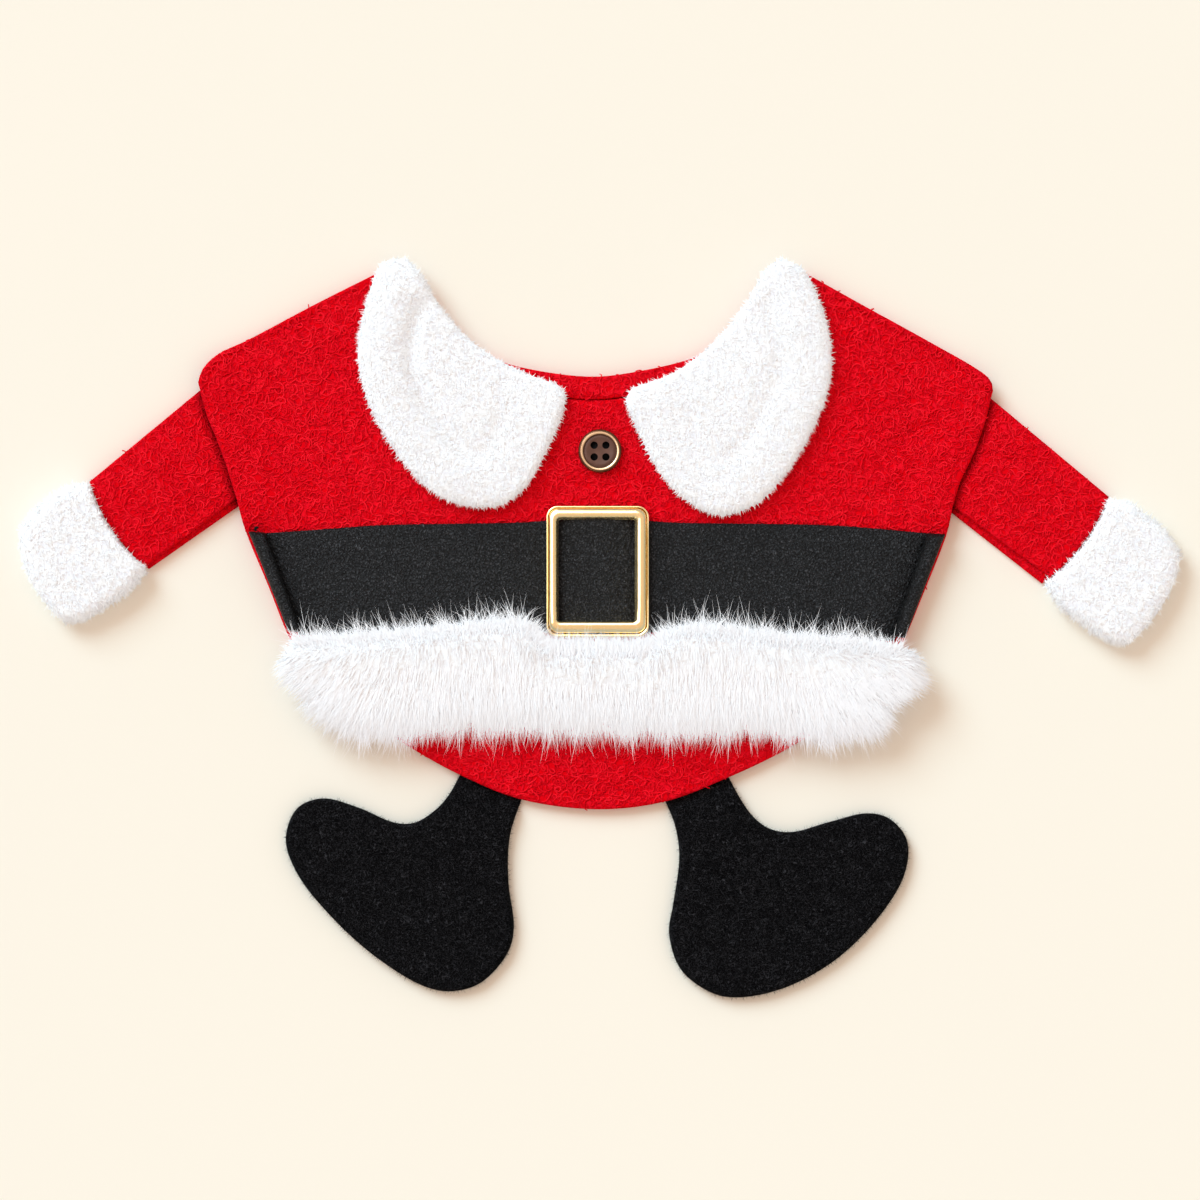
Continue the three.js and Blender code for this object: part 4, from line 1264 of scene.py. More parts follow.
# The frame's section: share of the way from its outer to its inner edge, and height.
BEAD = [(0.08, 0), (0.01, 0.25), (0, 0.8), (0, 1.5), (0.04, 1.95), (0.08, 2.0), (0.12, 1.75),
        (0.15, 0.7)]
BEVEL = [(0.15, 0.7), (0.18, 1.9), (0.27, 2.65), (0.42, 3.15), (0.57, 3.3), (0.72, 3.1), (0.85, 2.5),
         (0.94, 1.9), (1, 1.5), (1, 0.5), (0.93, 0)]


def rounded_rectangle(size, corner_steps, side_steps):
    """A closed rectangle with round corners, anticlockwise from its right side."""
    parts = []
    for k, (sx, sy) in enumerate([(1, 1), (-1, 1), (-1, -1), (1, -1)]):
        middle = np.array([size["right" if sx > 0 else "left"] - sx * size["corner"],
                           size["high" if sy > 0 else "low"] - sy * size["corner"]])
        turn = (k + np.linspace(0, 1, corner_steps)) * math.pi / 2
        parts.append(middle + size["corner"] * np.stack([np.cos(turn), np.sin(turn)], axis=1))
    share = np.linspace(0, 1, side_steps + 2)[1:-1, None]
    sides = [parts[k][-1] + (parts[(k + 1) % 4][0] - parts[k][-1]) * share for k in range(4)]
    return np.vstack([part for pair in zip(parts, sides) for part in pair])


def buckle_ring(base):
    """The frame: xy = outer + (inner - outer) (share + lip 4 share (1 - share)), z = base + height."""
    section = np.vstack([curve(BEAD, 0.1)[:-1], curve(BEVEL, 0.1)])
    outer, inner = (rounded_rectangle(BUCKLE[key], corner_steps=12, side_steps=6)
                    for key in ("outer", "inner"))
    lip = LOWER_LIP * (1 - ease(outer[:, 1:], BUCKLE["outer"]["low"], BUCKLE["inner"]["low"]))
    share = section[:, 0] + lip * 4 * section[:, 0] * (1 - section[:, 0])
    xy = outer[:, None] + (inner - outer)[:, None] * share[..., None]
    z = np.broadcast_to(base + section[:, 1], xy.shape[:2])
    return loft(np.concatenate([xy, z[..., None]], axis=2), closed=True)


def buckle_bar(base):
    """The centre bar: an oval carried from the lower side to the upper side."""
    turn = np.linspace(0, 2 * math.pi, BAR_SIDES, endpoint=False)
    z = base + (BUCKLE["bar_height"] + GAP) / 2 * (1 + np.sin(turn))
    ring = np.stack([BUCKLE["bar_half"] * np.cos(turn), 0 * turn, z], axis=1)
    ends = [(BUCKLE["outer"][key] + BUCKLE["inner"][key]) / 2 for key in ("low", "high")]
    return loft(np.stack([ring + [0, y, 0] for y in ends]))


def buckle():
    """The frame over the belt, and the bar that the belt passes over, in one mesh."""
    base = float(on_belt(BUCKLE_SPOT)[0])
    points, faces = buckle_ring(base + BELT_WALL + GAP)
    bar_points, bar_faces = buckle_bar(base)
    faces += [group + len(points) for group in bar_faces]
    mesh = mesh_from("buckle_frame", np.vstack([points, bar_points]), faces)
    mesh.set_sharp_from_angle(angle=math.radians(50))
    piece("buckle_frame", mesh, pale_gold, "gold", "buckle")


buckle()

# %% [markdown]
# Button
#
# The button is turned on a lathe: a metal-coloured rim round a dished brown face. So a profile
# is carried round an upright axis, and its four holes are drilled with a Boolean, as a maker
# would. A round pad of black thread lies under it and shows through the holes.

# %% Button finish
RIM = (0.0056, 0.0060)  # distances from the middle, in metres, between which brown turns to metal
# Painted highlight: a bright ring on the rim
HIGHLIGHT_RING = ((0.0059, 0.0062), (0.0065, 0.0068))  # where the line starts, and where it ends


def button_finish():
    """Brown in the middle, metal from the rim's distance on, with a painted highlight ring round it."""
    material, place = blank("button_brown")
    middle = ((BUTTON["x"] + SHIFT[0]) * MM, (BUTTON["y"] + SHIFT[1]) * MM, 0.0)
    away = place.node("ShaderNodeVectorMath", {"operation": "SUBTRACT"}, {0: place, 1: middle})
    flat = place.node("ShaderNodeVectorMath", {"operation": "MULTIPLY"}, {0: away, 1: (1.0, 1.0, 0.0)})
    far = place.node("ShaderNodeVectorMath", {"operation": "LENGTH"}, {0: flat}, output="Value")
    rim = smooth(far, *RIM)
    streak = noise(place, 300.0, detail=3.0)
    face = blend(streak, paint(70, 42, 33), paint(118, 80, 66))
    # A painted highlight: one bright ring round the rim
    line = smooth(far, *HIGHLIGHT_RING[0]) * (1.0 - smooth(far, *HIGHLIGHT_RING[1]))
    metal = blend(line, blend(streak, paint(84, 56, 38), paint(124, 88, 62)), paint(232, 198, 160))
    surfaced(place, {"Base Color": blend(rim, face, metal), "Metallic": 0.75 * rim,
                     "Roughness": 0.36 - 0.1 * rim, "Specular IOR Level": 0.25})
    return material


button_brown = button_finish()
print("button's finish mixed")

# %% Button
BUTTON_STEPS = 96
DRILL = {"sides": 24, "from": -2.0, "to": 5.0}
PAD_HEIGHTS = (0.35, 0.75)


def turned(profile, base, steps):
    """A profile of distances and heights carried round the button's axis."""
    turn = np.linspace(0, 2 * math.pi, steps, endpoint=False)
    circle = np.column_stack([np.cos(turn), np.sin(turn)])
    xy = np.array([BUTTON["x"], BUTTON["y"]]) + profile[:, :1, None] * circle
    z = np.broadcast_to(base + profile[:, 1:, None], (*xy.shape[:2], 1))
    points, faces = loft(np.concatenate([xy, z], axis=2))
    return points, [group[:, ::-1] for group in faces]


def button_profile():
    """From under the middle, round the rim, and in over the dished face."""
    radius, height = BUTTON["radius"], BUTTON["height"]
    dip = (radius - 2.1, height - 0.9)
    rim = [(0.02, 0), (radius - 1.6, 0), (radius - 0.4, 0.6), (radius, 1.5), (radius - 0.2, 2.4),
           (radius - 0.9, height), (radius - 1.6, height - 0.15), dip]
    face = [dip, (radius - 2.5, height - 0.75), (radius - 4.5, height - 1.0), (0.02, height - 1.15)]
    return np.vstack([curve(rim, 0.3)[:-1], curve(face, 0.5)])


def drilled(thing, base):
    """Cuts the four holes out of the button, and keeps the mesh that is left."""
    spots = [(BUTTON["x"] + sx * BUTTON["reach"], BUTTON["y"] + sy * BUTTON["reach"])
             for sx in (1, -1) for sy in (1, -1)]
    paths = np.array([[(*spot, base + DRILL[key]) for key in ("from", "to")] for spot in spots])
    radii = np.full((len(spots), 2), BUTTON["hole"])
    points, faces, _, _ = tubes(paths, radii, DRILL["sides"], np.tile([1.0, 0, 0], (len(spots), 1)))
    drill = bpy.data.objects.new("drill", mesh_from("drill", points, faces))
    bpy.context.scene.collection.objects.link(drill)
    cut = thing.modifiers.new("holes", "BOOLEAN")
    cut.operation = "DIFFERENCE"
    cut.object = drill
    bpy.context.view_layer.update()
    bored = bpy.data.meshes.new_from_object(thing.evaluated_get(bpy.context.evaluated_depsgraph_get()))
    thing.modifiers.clear()
    thing.data = bored
    bored.set_sharp_from_angle(angle=math.radians(40))
    bpy.data.objects.remove(drill)
    print("button:", len(bored.polygons), "faces after its holes were drilled")


def button():
    """The turned button with its holes, and the thread under it."""
    base = float(on_front(np.array([[BUTTON["x"], BUTTON["y"]]]))[0])
    mesh = mesh_from("button_turned", *turned(button_profile(), base, BUTTON_STEPS))
    drilled(piece("button_turned", mesh, button_brown, "button", "button"), base)
    pad = np.array([(BUTTON["pad"], height) for height in PAD_HEIGHTS])
    mesh = mesh_from("button_thread", *turned(pad, base, BUTTON_STEPS // 4))
    piece("button_thread", mesh, black_thread, "button")


button()

# %% [markdown]
# Boots
#
# Each boot is a flat shape of thick black felt whose top is sewn under the belly. The panel is
# thin where the belly covers it. Felt is pressed fibres without a weave, so its finish is fine
# threads of noise in two directions.

# %% Boots
BOOTS = {
    "left": {
        "edge": [(-46.8, -48.2), (-52.7, -58.8), (-57.6, -64), (-64.6, -68.1), (-71.6, -67.9),
                 (-84, -62.7), (-96.5, -59.5), (-105.3, -62.9), (-109.4, -73.5), (-105.5, -85.6),
                 (-92.6, -101.8), (-76.8, -115.8), (-60.8, -125.3), (-51.3, -127), (-41.2, -124),
                 (-31.8, -113.6), (-29.6, -105), (-31.5, -88.5), (-31, -72.8), (-25.8, -56.6)],
        "spine": [(-38, -66), (-44, -92), (-48, -105), (-70, -92), (-92, -76)],
    },
    "right": {
        "edge": [(21.9, -57.4), (26.7, -68.9), (28.2, -80), (26, -96.9), (24.6, -106.4),
                 (28.8, -119.4), (40, -127.7), (49.5, -129.1), (65.5, -125.6), (83.1, -115.8),
                 (98.8, -100), (107.2, -85.4), (107.8, -74), (101.6, -66.5), (93.9, -64.7),
                 (80.5, -67.8), (67.3, -71.3), (59.6, -70), (54, -65.8), (49.5, -59.5), (43.9, -49)],
        "spine": [(36, -66), (44, -92), (46, -108), (70, -95), (92, -79)],
    },
}
BOOT = {"wall": 4.6, "top": 1.9, "edge": 1.8, "slope": 7.0}


def felt_finish():
    """Black felt: fine fibres, a few of them grey."""
    material, place = blank("black_felt")
    long_ones = threads(place, 520.0, 0.028, detail=1.5, distortion=1.4)
    short_ones = threads(place, 820.0, 0.04, distortion=1.8, shift=5.1)
    seen = 0.75 + 0.25 * smooth(noise(place, 240.0, shift=2.3), 0.35, 0.65)
    fibres = place.math("MAXIMUM", long_ones, 0.7 * short_ones)
    ground = blend(noise(place, 90.0), paint(2, 2, 3), paint(5, 5, 6))
    colour = blend(fibres * seen, ground, paint(60, 60, 64))
    surfaced(place, {"Base Color": colour, "Roughness": 0.95, "Specular IOR Level": 0.04},
             height=fibres, depth=0.0002)
    return material


black_felt = felt_finish()


def boot(side):
    """Flat felt, thin where its top lies under the belly."""
    shape = BOOTS[side]
    outline = outline_of([shape["edge"], [shape["edge"][-1], shape["edge"][0]]], 1.8)

    def wall(at, depth):
        out = ease(-depth_in(body_outline, at), 1.2, BOOT["slope"])
        return BOOT["top"] + (BOOT["wall"] - BOOT["top"]) * out

    points, faces, _ = panel(outline, [shape["spine"]], on_floor, wall, edge=BOOT["edge"],
                             steps=[0.15, 0.4, 0.8, 1.3, 1.8], spacing=3.0, below=0.45, flat_below=True)
    name = f"boot_{side}"
    return piece(f"{name}_felt", mesh_from(name, points, faces), black_felt, "felt", name), outline


boots = {side: boot(side) for side in SIDES}

# %% [markdown]
# The long-haired trim
#
# The trim is a strip of imitation fur under the belt. Its dense underwool is a rounded body,
# kept inside the space that the hairs fill. The hairs are combed down, fan out at both ends,
# and stand up a little over the belt along the upper edge.

# %% Fur body
FUR_TOP = [(-108, -2.6), (-92.6, -1.6), (-63.2, 0.6), (-40.8, 2.9), (-25, 3.2), (-20.5, -2),
           (-17.5, -4.2), (0, -4.6), (17, -4.4), (20.4, -2.4), (28.5, 1.4), (42.8, 1.6), (64.2, -1.2),
           (85.5, -2.6), (106.2, -4.9)]
FUR_RIGHT = [(106.2, -4.9), (112.6, -7.3), (115.6, -14), (114.2, -21), (109, -30.4), (103.4, -38.8),
             (95, -43.7)]
FUR_LOW = [(95, -43.7), (78.5, -45.3), (60, -42), (28, -42.2), (-10, -41.4), (-42, -40), (-66.7, -43),
           (-81.4, -43), (-92.6, -40.2)]
FUR_LEFT = [(-92.6, -40.2), (-103.5, -35), (-108, -27.6), (-111.9, -18.2), (-113.3, -9.4), (-108, -2.6)]
FUR_SPINE = [(-95, -20), (-30, -21), (0, -21.3), (30, -21), (96, -24)]
FUR_WALL = 9.5
FUR_DRAWN = (10.8, 8.6)  # how far the underwool is drawn in, and how much less along the upper edge
# Painted glow of the trim's hairs: emission that brightens them
FUR_GLOW = 0.40
fur_outline = outline_of([FUR_TOP, FUR_RIGHT, FUR_LOW, FUR_LEFT], 2.5)
fur_seat = float(on_front(np.array([[0.0, -20.0]]))[0])


def fur_finish(name, root, tip, dull):
    """Hairs: shaded at the root, white along their length, and duller at the trim's lower edge."""
    material, place = blank(name)
    light = smooth(own(place, "tip") + 0.3 * own(place, "tone"), 0.0, 0.55)
    forth = place.node("ShaderNodeSeparateXYZ", {}, {0: place}, output="Y")
    lower = smooth(0.0 - forth, 0.030, 0.046)
    glowing(place, blend(lower, blend(light, root, tip), dull), 0.8, FUR_GLOW)
    return material


fur_ground = white_finish("fur_ground", paint(236, 235, 237), paint(243, 243, 244), 300.0)
fur_hair = fur_finish("fur_hair", paint(222, 222, 225), paint(229, 229, 231), paint(231, 231, 235))


def fur_body():
    """The underwool: the trim's outline drawn in by the length that its hairs stand out."""
    middle = nearest(FUR_SPINE, fur_outline)[0]
    away = fur_outline - middle
    draw = FUR_DRAWN[0] - FUR_DRAWN[1] * ease(unit(away)[:, 1], -0.2, 0.85)
    outline = fur_outline - unit(away) * draw[:, None]

    def wall(at, depth):
        return FUR_WALL * (0.88 + 0.12 * ease(depth, 0, 12))

    points, faces, tops = panel(outline, [FUR_SPINE], lambda at: np.full(len(at), fur_seat), wall,
                                edge=7.0, steps=[0.3, 0.8, 1.6, 2.8, 4.4, 7.0], spacing=2.5,
                                below=0.42, flat_below=True)
    thing = piece("fur_trim_body", mesh_from("fur_trim_body", points, faces), fur_ground, "fur",
                  "fur_trim")
    return thing, points, tops, outline


fur = fur_body()

# %% [markdown]
# Curled yarn
#
# Pile could be a particle system, but its hairs would not be part of any mesh. Here every curl,
# tuft and hair is a closed tube with three sides. Its root is a random spot on the cloth, and
# one call makes all the tubes of a piece as arrays. The terry's loops come first: each is a
# short length of yarn whose heading turns as it goes.

# %% Curls
rng = np.random.default_rng(24)
YARN = {"stations": 7, "bend": (1.8, 5.2), "sway": (-1.1, 1.1), "length": (3.8, 6.4),
        "radius": (0.25, 0.34), "lift": (0.1, 0.4), "sunk": 0.04}


def curls(spots, top):
    """Curled yarn on a surface: its heading turns along it, steadily and once to and fro."""
    number = len(spots)
    s = np.linspace(0, 1, YARN["stations"])

    def drawn(key):
        return rng.uniform(*YARN[key], (number, 1))

    start = rng.uniform(0, 2 * math.pi, (number, 1))
    bend = drawn("bend") * rng.choice([-1, 1], (number, 1))
    heading = start + bend * s + drawn("sway") * np.sin(2 * math.pi * s)
    step = drawn("length") / (YARN["stations"] - 1)
    line = np.cumsum(np.stack([np.cos(heading), np.sin(heading)], axis=2) * step[..., None], axis=1)
    line = spots[:, None] + line - line.mean(axis=1, keepdims=True)
    radius = drawn("radius") * (0.75 + 0.25 * np.sin(math.pi * s))
    lift = drawn("lift") * np.sin(math.pi * s) - YARN["sunk"]
    z = top(line.reshape(-1, 2)).reshape(number, -1) + lift
    paths = np.concatenate([line, z[..., None]], axis=2)
    points, faces, _, size = tubes(paths, radius, 3, np.tile(UPWARDS, (number, 1)))
    return points, faces, np.repeat(rng.random(number), size)


print("a curl is", YARN["length"][0], "to", YARN["length"][1], "mm of yarn")

# %% Yarn on each piece
YARN_SPACING = 2.0
YARN_INSET = {"front": 1.4, "sleeve": 1.2, "band": 1.1}  # how far the curls keep off a cut edge
UNDER_COLLAR = 1.5  # how far they run in under the collar
UNDER_FUR = 2.0
UNDER_BELT = {"low": 0, "high": 32, "half": 112, "lean": 0.35, "top": 33}  # the belt, drawn narrower


def jittered(outline, spacing):
    """Spots in an outline: a square grid whose spots are each moved by up to half its spacing."""
    corner, far = outline.min(axis=0), outline.max(axis=0)
    columns, rows = (np.arange(corner[k], far[k], spacing) for k in (0, 1))
    grid = np.stack(np.meshgrid(columns, rows, indexing="ij"), axis=-1).reshape(-1, 2)
    return grid + rng.uniform(-0.5, 0.5, grid.shape) * spacing


def add_yarn(name, spots, top, shaded=False):
    """A piece of curled yarn, which may carry painted shade beside the armhole."""
    points, faces, tone = curls(spots, top)
    marks = {"tone": tone}
    if shaded:
        # Painted shade beside the armhole
        marks["armhole_shade"] = armhole_shade_at(points[:, :2])
    return piece(name, mesh_from(name, points, faces, marks), red_yarn, "terry")


def inside(outline, spots, far):
    """The spots that lie more than a distance in from an outline."""
    return spots[depth_in(outline, spots) > far]


def off_collar(spots):
    """The spots that neither half of the collar covers, and a few just under its edge."""
    for side in SIDES:
        spots = spots[depth_in(collar_outline(side, 6), spots) < UNDER_COLLAR]
    return spots


def edge_drop(outline, at, edge, wall):
    """How far the cloth's rounded edge has fallen below its flat top."""
    depth = np.maximum(depth_in(outline, at), 0.0)
    return 0.5 * wall * (1.0 - np.sqrt(1.0 - (1.0 - np.clip(depth / edge, 0, 1)) ** 2))


def front_top(at):
    """The upper side of the front panel."""
    return front_under(at) + TERRY - edge_drop(front_outline, at, FRONT_EDGE, TERRY)


def body_yarn():
    """Curls on all of the front that no other piece covers."""
    spots = inside(front_outline, jittered(front_outline, YARN_SPACING), YARN_INSET["front"])
    spots = off_collar(spots)
    spots = spots[depth_in(fur[3], spots) < UNDER_FUR]
    x, y = spots.T
    half = UNDER_BELT["half"] - UNDER_BELT["lean"] * (UNDER_BELT["top"] - y)
    under_belt = (y < UNDER_BELT["high"]) & (y > UNDER_BELT["low"]) & (abs(x) < half)
    add_yarn("front_panel_yarn", spots[~under_belt], front_top)


def band_yarn():
    """Curls on the neck band."""
    spots = inside(band_outline, jittered(band_outline, YARN_SPACING), YARN_INSET["band"])
    add_yarn("neck_band_yarn", off_collar(spots), lambda at: front_under(at) + TERRY + BAND_CROWN / 2)


def sleeve_yarn(side):
    """Curls on a sleeve's front layer."""
    outline = sleeve_fronts[side]
    spots = inside(outline, jittered(outline, YARN_SPACING), YARN_INSET["sleeve"])
    spots = spots[depth_in(body_outline, spots) < 0.5]

    def top(at):
        puff = sleeve_puff(depth_in(outline, at))
        return 2 * TERRY + GAP + puff - edge_drop(outline, at, SLEEVE_EDGE, TERRY)

    add_yarn(f"sleeve_{side}_yarn", spots, top, shaded=True)


body_yarn()
band_yarn()
for side in SIDES:
    sleeve_yarn(side)

# %% [markdown]
# Plush pile
#
# Plush is a dense pile of short fibres that stand in small tufts, so its edge is soft. Each tuft
# is one pointed hair with a random lean. Roots are scattered evenly by area, so that the pile is
# as thick on the rounded border as it is in the middle.

# %% Hairs from their roots
HAIR_CLEAR = 0.15  # how far the hairs keep off the floor
SHADED_BY = {"hair": 0.15, "cloth": 0.6, "sky": 0.4}  # what turns the direction they are shaded in


def halves(quads):
    """The two triangles of each four-cornered face."""
    return np.vstack([quads[:, [0, 1, 2]], quads[:, [0, 2, 3]]])


def scatter(points, triangles, count):
    """Random spots, as many to the square millimetre everywhere, and how the surface faces there."""
    corners = points[triangles]
    cross = np.cross(corners[:, 1] - corners[:, 0], corners[:, 2] - corners[:, 0])
    size = np.linalg.norm(cross, axis=1)
    pick = rng.choice(len(corners), count, p=size / size.sum())
    u, v = rng.random((2, count, 1))
    u, v = np.where(u + v > 1, 1 - u, u), np.where(u + v > 1, 1 - v, v)
    a, b, c = (corners[pick, k] for k in range(3))
    return a + u * (b - a) + v * (c - a), cross[pick] / size[pick, None]


def hairs(name, roots, facing, leaning, bend, lengths, widths, stations):
    """A mesh of pointed hairs, which runs through root + length (s lean + s squared bend).

    Its radius is half the width times 1 - s ** 1.5, where s runs from 0 to 1 along it. A hair's
    flat side faces the way its cloth does, and it is shaded mostly as the cloth is, because in a
    real pile light passes through the hairs and evens out.
    """
    s = np.linspace(0, 1, stations)[:, None]
    paths = roots[:, None] + lengths[:, None, None] * (s * leaning[:, None] + s**2 * bend[:, None])
    radii = widths[:, None] / 2 * (1 - s[:, 0] ** 1.5)
    points, faces, tip, size = tubes(paths, radii, 3, facing, pointed=True)
    points[:, 2] = np.maximum(points[:, 2], HAIR_CLEAR)
    rings = points.reshape(len(roots), size, 3)[:, :-1]
    outward = np.concatenate([rings - np.repeat(paths[:, :-1], 3, axis=1), facing[:, None]], axis=1)
    shaded = unit(unit(outward) * SHADED_BY["hair"] + facing[:, None] * SHADED_BY["cloth"]
                  + UPWARDS * SHADED_BY["sky"])
    marks = {"tip": tip, "tone": np.repeat(rng.random(len(roots)), size)}
    return mesh_from(name, points, faces, marks, shaded.reshape(-1, 3))


print("hairs keep", HAIR_CLEAR, "mm off the floor")

# %% Plush pile
PILE = {"shortest": 1.0, "widths": (0.3, 0.55), "upright": 0.35, "mess": 0.55, "root": 0.2}
PILE_COUNT = {"collar": 18500, "cuff": 17000}
UNDERNEATH = -0.35  # cloth that faces down more than this has no pile


def plush(name, points, triangles, count, comb, longest=2.4):
    """Short tufts that lean by chance and a little along the comb's direction."""
    roots, facing = scatter(points, triangles, count)
    keep = facing[:, 2] > UNDERNEATH
    roots, facing = roots[keep], facing[keep]
    mess = rng.normal(0, PILE["mess"], roots.shape)
    lean = unit(facing * PILE["upright"] + mess + np.array(comb))
    lengths = rng.uniform(PILE["shortest"], longest, len(roots))
    widths = rng.uniform(*PILE["widths"], len(roots))
    straight = np.zeros_like(lean)
    mesh = hairs(name, roots - facing * PILE["root"], facing, lean, straight, lengths, widths, 2)
    return piece(name, mesh, plush_pile, "plush")


for side in SIDES:
    thing, points, tops, outline = collars[side]
    pile = plush(f"collar_{side}_pile", points, tops, PILE_COUNT["collar"], comb=(0.0, -0.25, 0.0))
    size = outline.max(axis=0) - outline.min(axis=0)
    tuple(size * MM)
    thing, points, quads = cuffs[side]
    pile = plush(f"cuff_{side}_pile", points, halves(quads), PILE_COUNT["cuff"],
                 comb=(0.0, -0.15, 0.0), longest=3.0)

# %% [markdown]
# Loose fibres
#
# Felt is cut, not woven, so single fibres stand out from its edge. They are spread along the
# boots' outlines wherever the belly doesn't cover them.

# %% Loose fibres on the boots' edges
FUZZ_COUNT = 1500


def felt_fuzz(side):
    """Tiny single fibres that stand out from a boot's cut edge."""
    thing, outline = boots[side]
    line = resampled(np.vstack([outline, outline[:1]]), FUZZ_COUNT)
    line = line[depth_in(body_outline, line) < -1.0]
    away = unit(line - nearest(BOOTS[side]["spine"], line)[0])
    roots = np.column_stack([line - away * 0.4, rng.uniform(0.8, 3.8, len(line))])
    lean = unit(np.column_stack([away, np.zeros(len(line))]) + rng.normal(0, 0.6, roots.shape))
    facing = np.tile(UPWARDS, (len(line), 1))
    mesh = hairs(f"boot_{side}_fuzz", roots, facing, lean, rng.normal(0, 0.3, roots.shape),
                 rng.uniform(0.5, 1.5, len(line)), rng.uniform(0.09, 0.15, len(line)), 3)
    fuzz = piece(f"boot_{side}_fuzz", mesh, black_felt, "felt")
    size = outline.max(axis=0) - outline.min(axis=0)
    tuple(size * MM)


for side in SIDES:
    felt_fuzz(side)

# %% [markdown]
# Long hair
#
# The trim's hair comes in four lots. The coat is combed down, and rolls over near the upper
# edge. The fringe stands out round the lower edge and the ends, in tufts. Short brow hairs hide
# the belt's lower edge, and long single tufts stand up over the belt. The hairs of a tuft share
# one lean, which is what makes fur look like locks and not like grass.

# %% Combs
fur_top_line = curve(FUR_TOP, 3)


def comb_of(at):
    """Which way the trim is combed: down, and outwards towards its ends."""
    out = np.sign(at[:, 0]) * np.clip((abs(at[:, 0]) - 40) / 72, 0, 1) ** 2.2 * 1.7
    return unit(np.stack([out, -np.ones(len(at)), np.zeros(len(at))], axis=1))


def fur_hairs(name, roots, facing, comb, lift, fall, lengths, widths, stations, mess):
    """Hairs that leave the trim along the comb, rise a little and come down again."""
    count = len(roots)
    lean = unit(comb + rng.normal(0, mess, (count, 3)) + UPWARDS * lift)
    flat = rng.normal(0, 0.09 + mess / 2, (count, 2))
    sway = np.column_stack([flat, np.full(count, -fall)])
    mesh = hairs(name, roots, facing, lean, sway, lengths, widths, stations)
    return piece(name, mesh, fur_hair, "fur")


def combed(at):
    """The comb's direction, rolled over to point up across the belt near the upper edge."""
    comb = comb_of(at)
    near = nearest(fur_top_line, at[:, :2])[1] + rng.normal(0, 1.5, len(at))
    turn = math.pi * (1.0 - ease(near, 1.5, 9.0))
    return np.stack([comb[:, 0], comb[:, 1] * np.cos(turn), 0.6 * np.sin(turn)], axis=1)


def edge_roots(ring, count, seat, inset, deepest):
    """Spots along a stretch of an edge, at random heights and a little way in."""
    line = resampled(ring, count)
    away = unit(line - nearest(FUR_SPINE, line)[0])
    start = line - away * rng.uniform(inset, deepest, (len(line), 1))
    height = seat + rng.uniform(0.8, 7.0, len(line))
    return np.column_stack([start, height]), np.column_stack([away, 0 * away[:, 0]])


def upward(at, shared):
    """Up over the belt, leaning outwards towards the trim's ends, each hair with its tuft's lean."""
    out = np.sign(at[:, 0]) * ease(abs(at[:, 0]), 60, 112) * 0.5 + shared
    return unit(np.stack([out, np.ones(len(at)), np.zeros(len(at))], axis=1))


print("the comb points down and outwards:", comb_of(np.array([[100.0, -20.0]])).round(2))

# %% Hair over the belt
BROW_COUNT = 9000
TUFT_COUNT = 3000
TUFT_WIDTH = 3.0
TUFTS = 200  # more tufts than the trim has room for, each with its own lean and length
NOTCH = (18.0, 20.5)  # half width of the notch below the buckle, and where it has ended
UPPER_SEAT = fur_seat + 1.5


def upper_brow():
    """Dense short hairs that hide the belt's lower edge and fill the notch below the buckle."""
    start, _ = edge_roots(curve(FUR_TOP, 1.5), BROW_COUNT, UPPER_SEAT, inset=1.8, deepest=8.0)
    count, out = len(start), abs(start[:, 0])
    notch = 1.0 - ease(out, *NOTCH)
    room = np.clip(BUCKLE["outer"]["low"] + 1.4 - start[:, 1], 0.8, 10.0)
    flank = ease(out, 17, 20) * (1.0 - ease(out, 24, 27))
    length = rng.uniform(0.86, 1.04, count) * room * notch
    length = length + (1 - notch) * (1.7 + 2.9 * rng.random(count) ** 1.6 + 2.0 * flank)
    shared = np.convolve(rng.normal(0, 0.5, count), np.ones(40) / 40, "same") * 2.5
    shared = shared - np.sign(start[:, 0]) * flank
    widths = rng.uniform(0.18, 0.34, count)
    return fur_hairs("fur_trim_brow", start, np.tile(UPWARDS, (count, 1)), upward(start, shared),
                     lift=0.12, fall=0.3, lengths=length, widths=widths, stations=3, mess=0.22)


def upper_tufts():
    """Long single hairs over the belt, in tufts that share a lean, and none at the buckle."""
    start, _ = edge_roots(curve(FUR_TOP, 2), TUFT_COUNT, UPPER_SEAT, inset=2.0, deepest=4.5)
    start = start[abs(start[:, 0]) > NOTCH[1]]
    tuft = (start[:, 0] // TUFT_WIDTH).astype(int) + TUFTS // 2
    shared = rng.normal(0, 0.55, TUFTS)[tuft]
    reach = rng.uniform(0.45, 1.0, TUFTS)[tuft]
    count = len(start)
    length = 3.4 + reach * 8.8 * rng.random(count) ** 1.2
    widths = rng.uniform(0.16, 0.28, count)
    return fur_hairs("fur_trim_tufts", start, np.tile(UPWARDS, (count, 1)), upward(start, shared),
                     lift=0.1, fall=0.25, lengths=length, widths=widths, stations=5, mess=0.42)


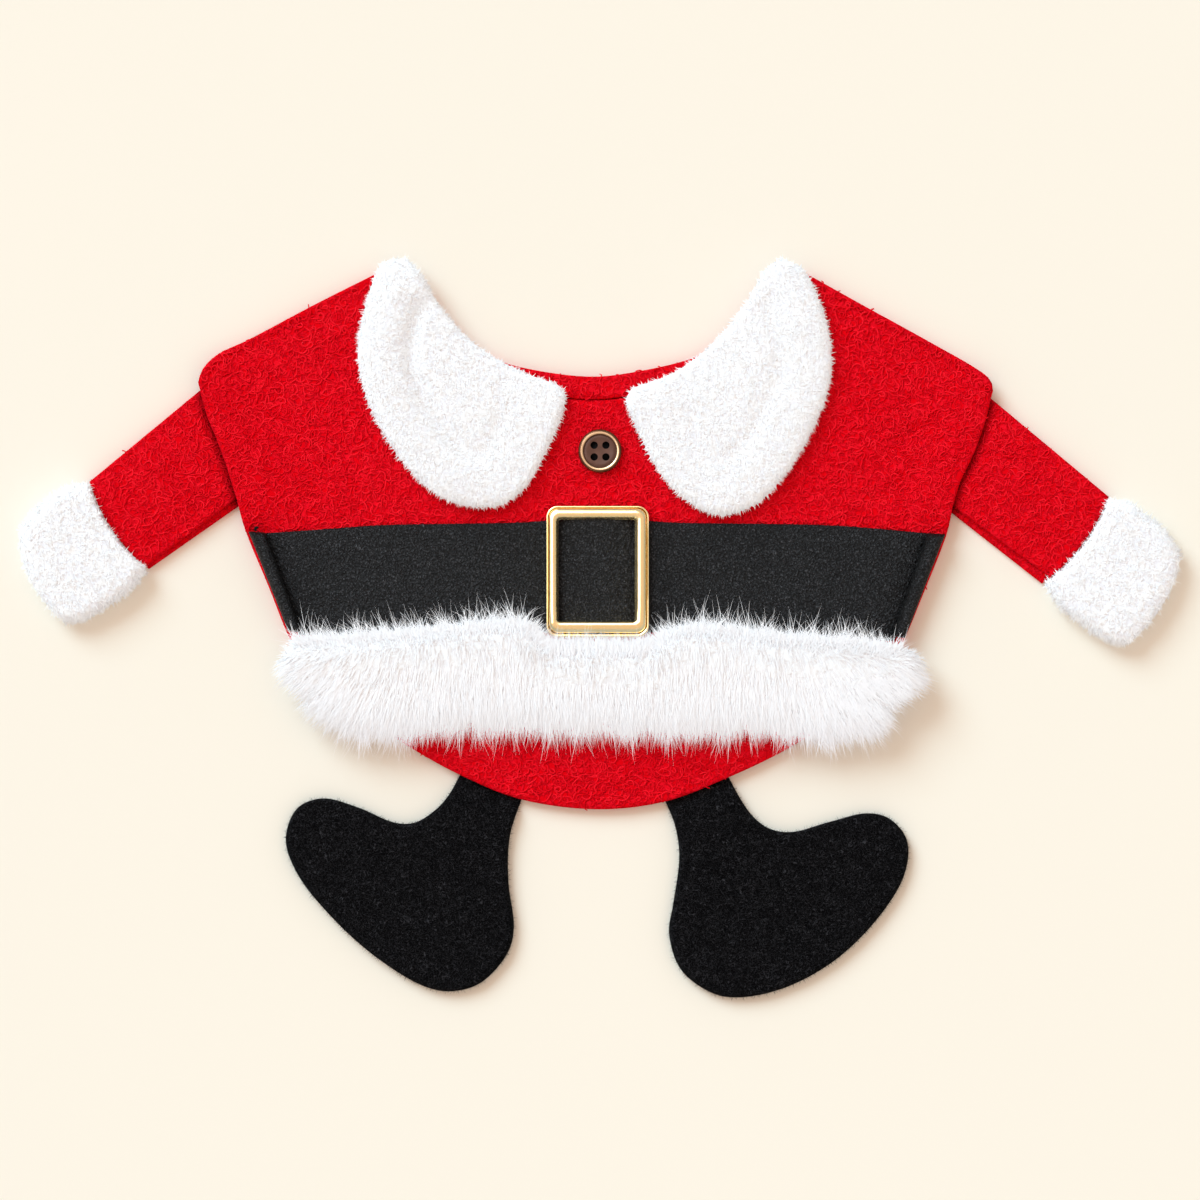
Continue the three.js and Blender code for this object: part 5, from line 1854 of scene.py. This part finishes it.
# %% Coat and fringe
COAT_COUNT = 18000
FRINGE_COUNT = 14500
FRINGE_TUFT = 75  # hairs of the fringe that make one tuft


def coat(points, tops):
    """The combed hair on the trim, shorter near its upper edge and its ends."""
    roots, facing = scatter(points, tops, COAT_COUNT)
    keep = facing[:, 2] > 0.1
    roots, facing = roots[keep] - facing[keep] * 0.2, facing[keep]
    inward = ease(nearest(fur_top_line, roots[:, :2])[1], 2, 12)
    lengths = rng.uniform(6, 11, len(roots)) * (0.34 + 0.66 * inward)
    lengths = lengths * (1.0 - 0.25 * ease(abs(roots[:, 0]), 92, 108))
    comb = combed(roots)
    widths = rng.uniform(0.2, 0.4, len(roots))
    return fur_hairs("fur_trim_coat", roots, facing, comb, lift=0.09, fall=0.11, lengths=lengths,
                     widths=widths, stations=3, mess=0.09)


def fringe(outline):
    """The hair that stands out round the lower edge and the ends, in tufts of one length."""
    ring = np.vstack([outline, outline[:1]])
    start, away = edge_roots(ring, FRINGE_COUNT, fur_seat, inset=0.2, deepest=6.0)
    low = np.flatnonzero(away[:, 1] < 0.25)
    start, away = start[low], away[low]
    tuft = low // FRINGE_TUFT
    number = tuft.max() + 1
    shared = rng.normal(0, 0.12, (number, 3))[tuft] * [1, 1, 0]
    length = rng.uniform(8, 16.5, len(start)) * rng.uniform(0.7, 1.0, number)[tuft]
    length = length * (1.0 - 0.5 * ease(abs(start[:, 0]), 84, 104))
    comb = unit(comb_of(start) + 0.5 * away) + shared
    widths = rng.uniform(0.15, 0.3, len(start))
    return fur_hairs("fur_trim_fringe", start, unit(away + 3.0 * UPWARDS), comb, lift=0.04, fall=0.14,
                     lengths=length, widths=widths, stations=4, mess=0.12)


thing, points, tops, outline = fur
lots = [coat(points, tops), fringe(outline), upper_brow(), upper_tufts()]

# %% [markdown]
# The size, and finish
#
# The hairs may stand a little outside the imported model's box. The two boxes are printed.

# %% Finish
bpy.context.view_layer.update()
sizes = {"cad": [list(corner) for corner in cad_bounds], "visual": [list(corner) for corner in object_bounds()]}
for name, box in sizes.items():
    print(name, "box:", np.array(box).round(4).tolist(), "m")
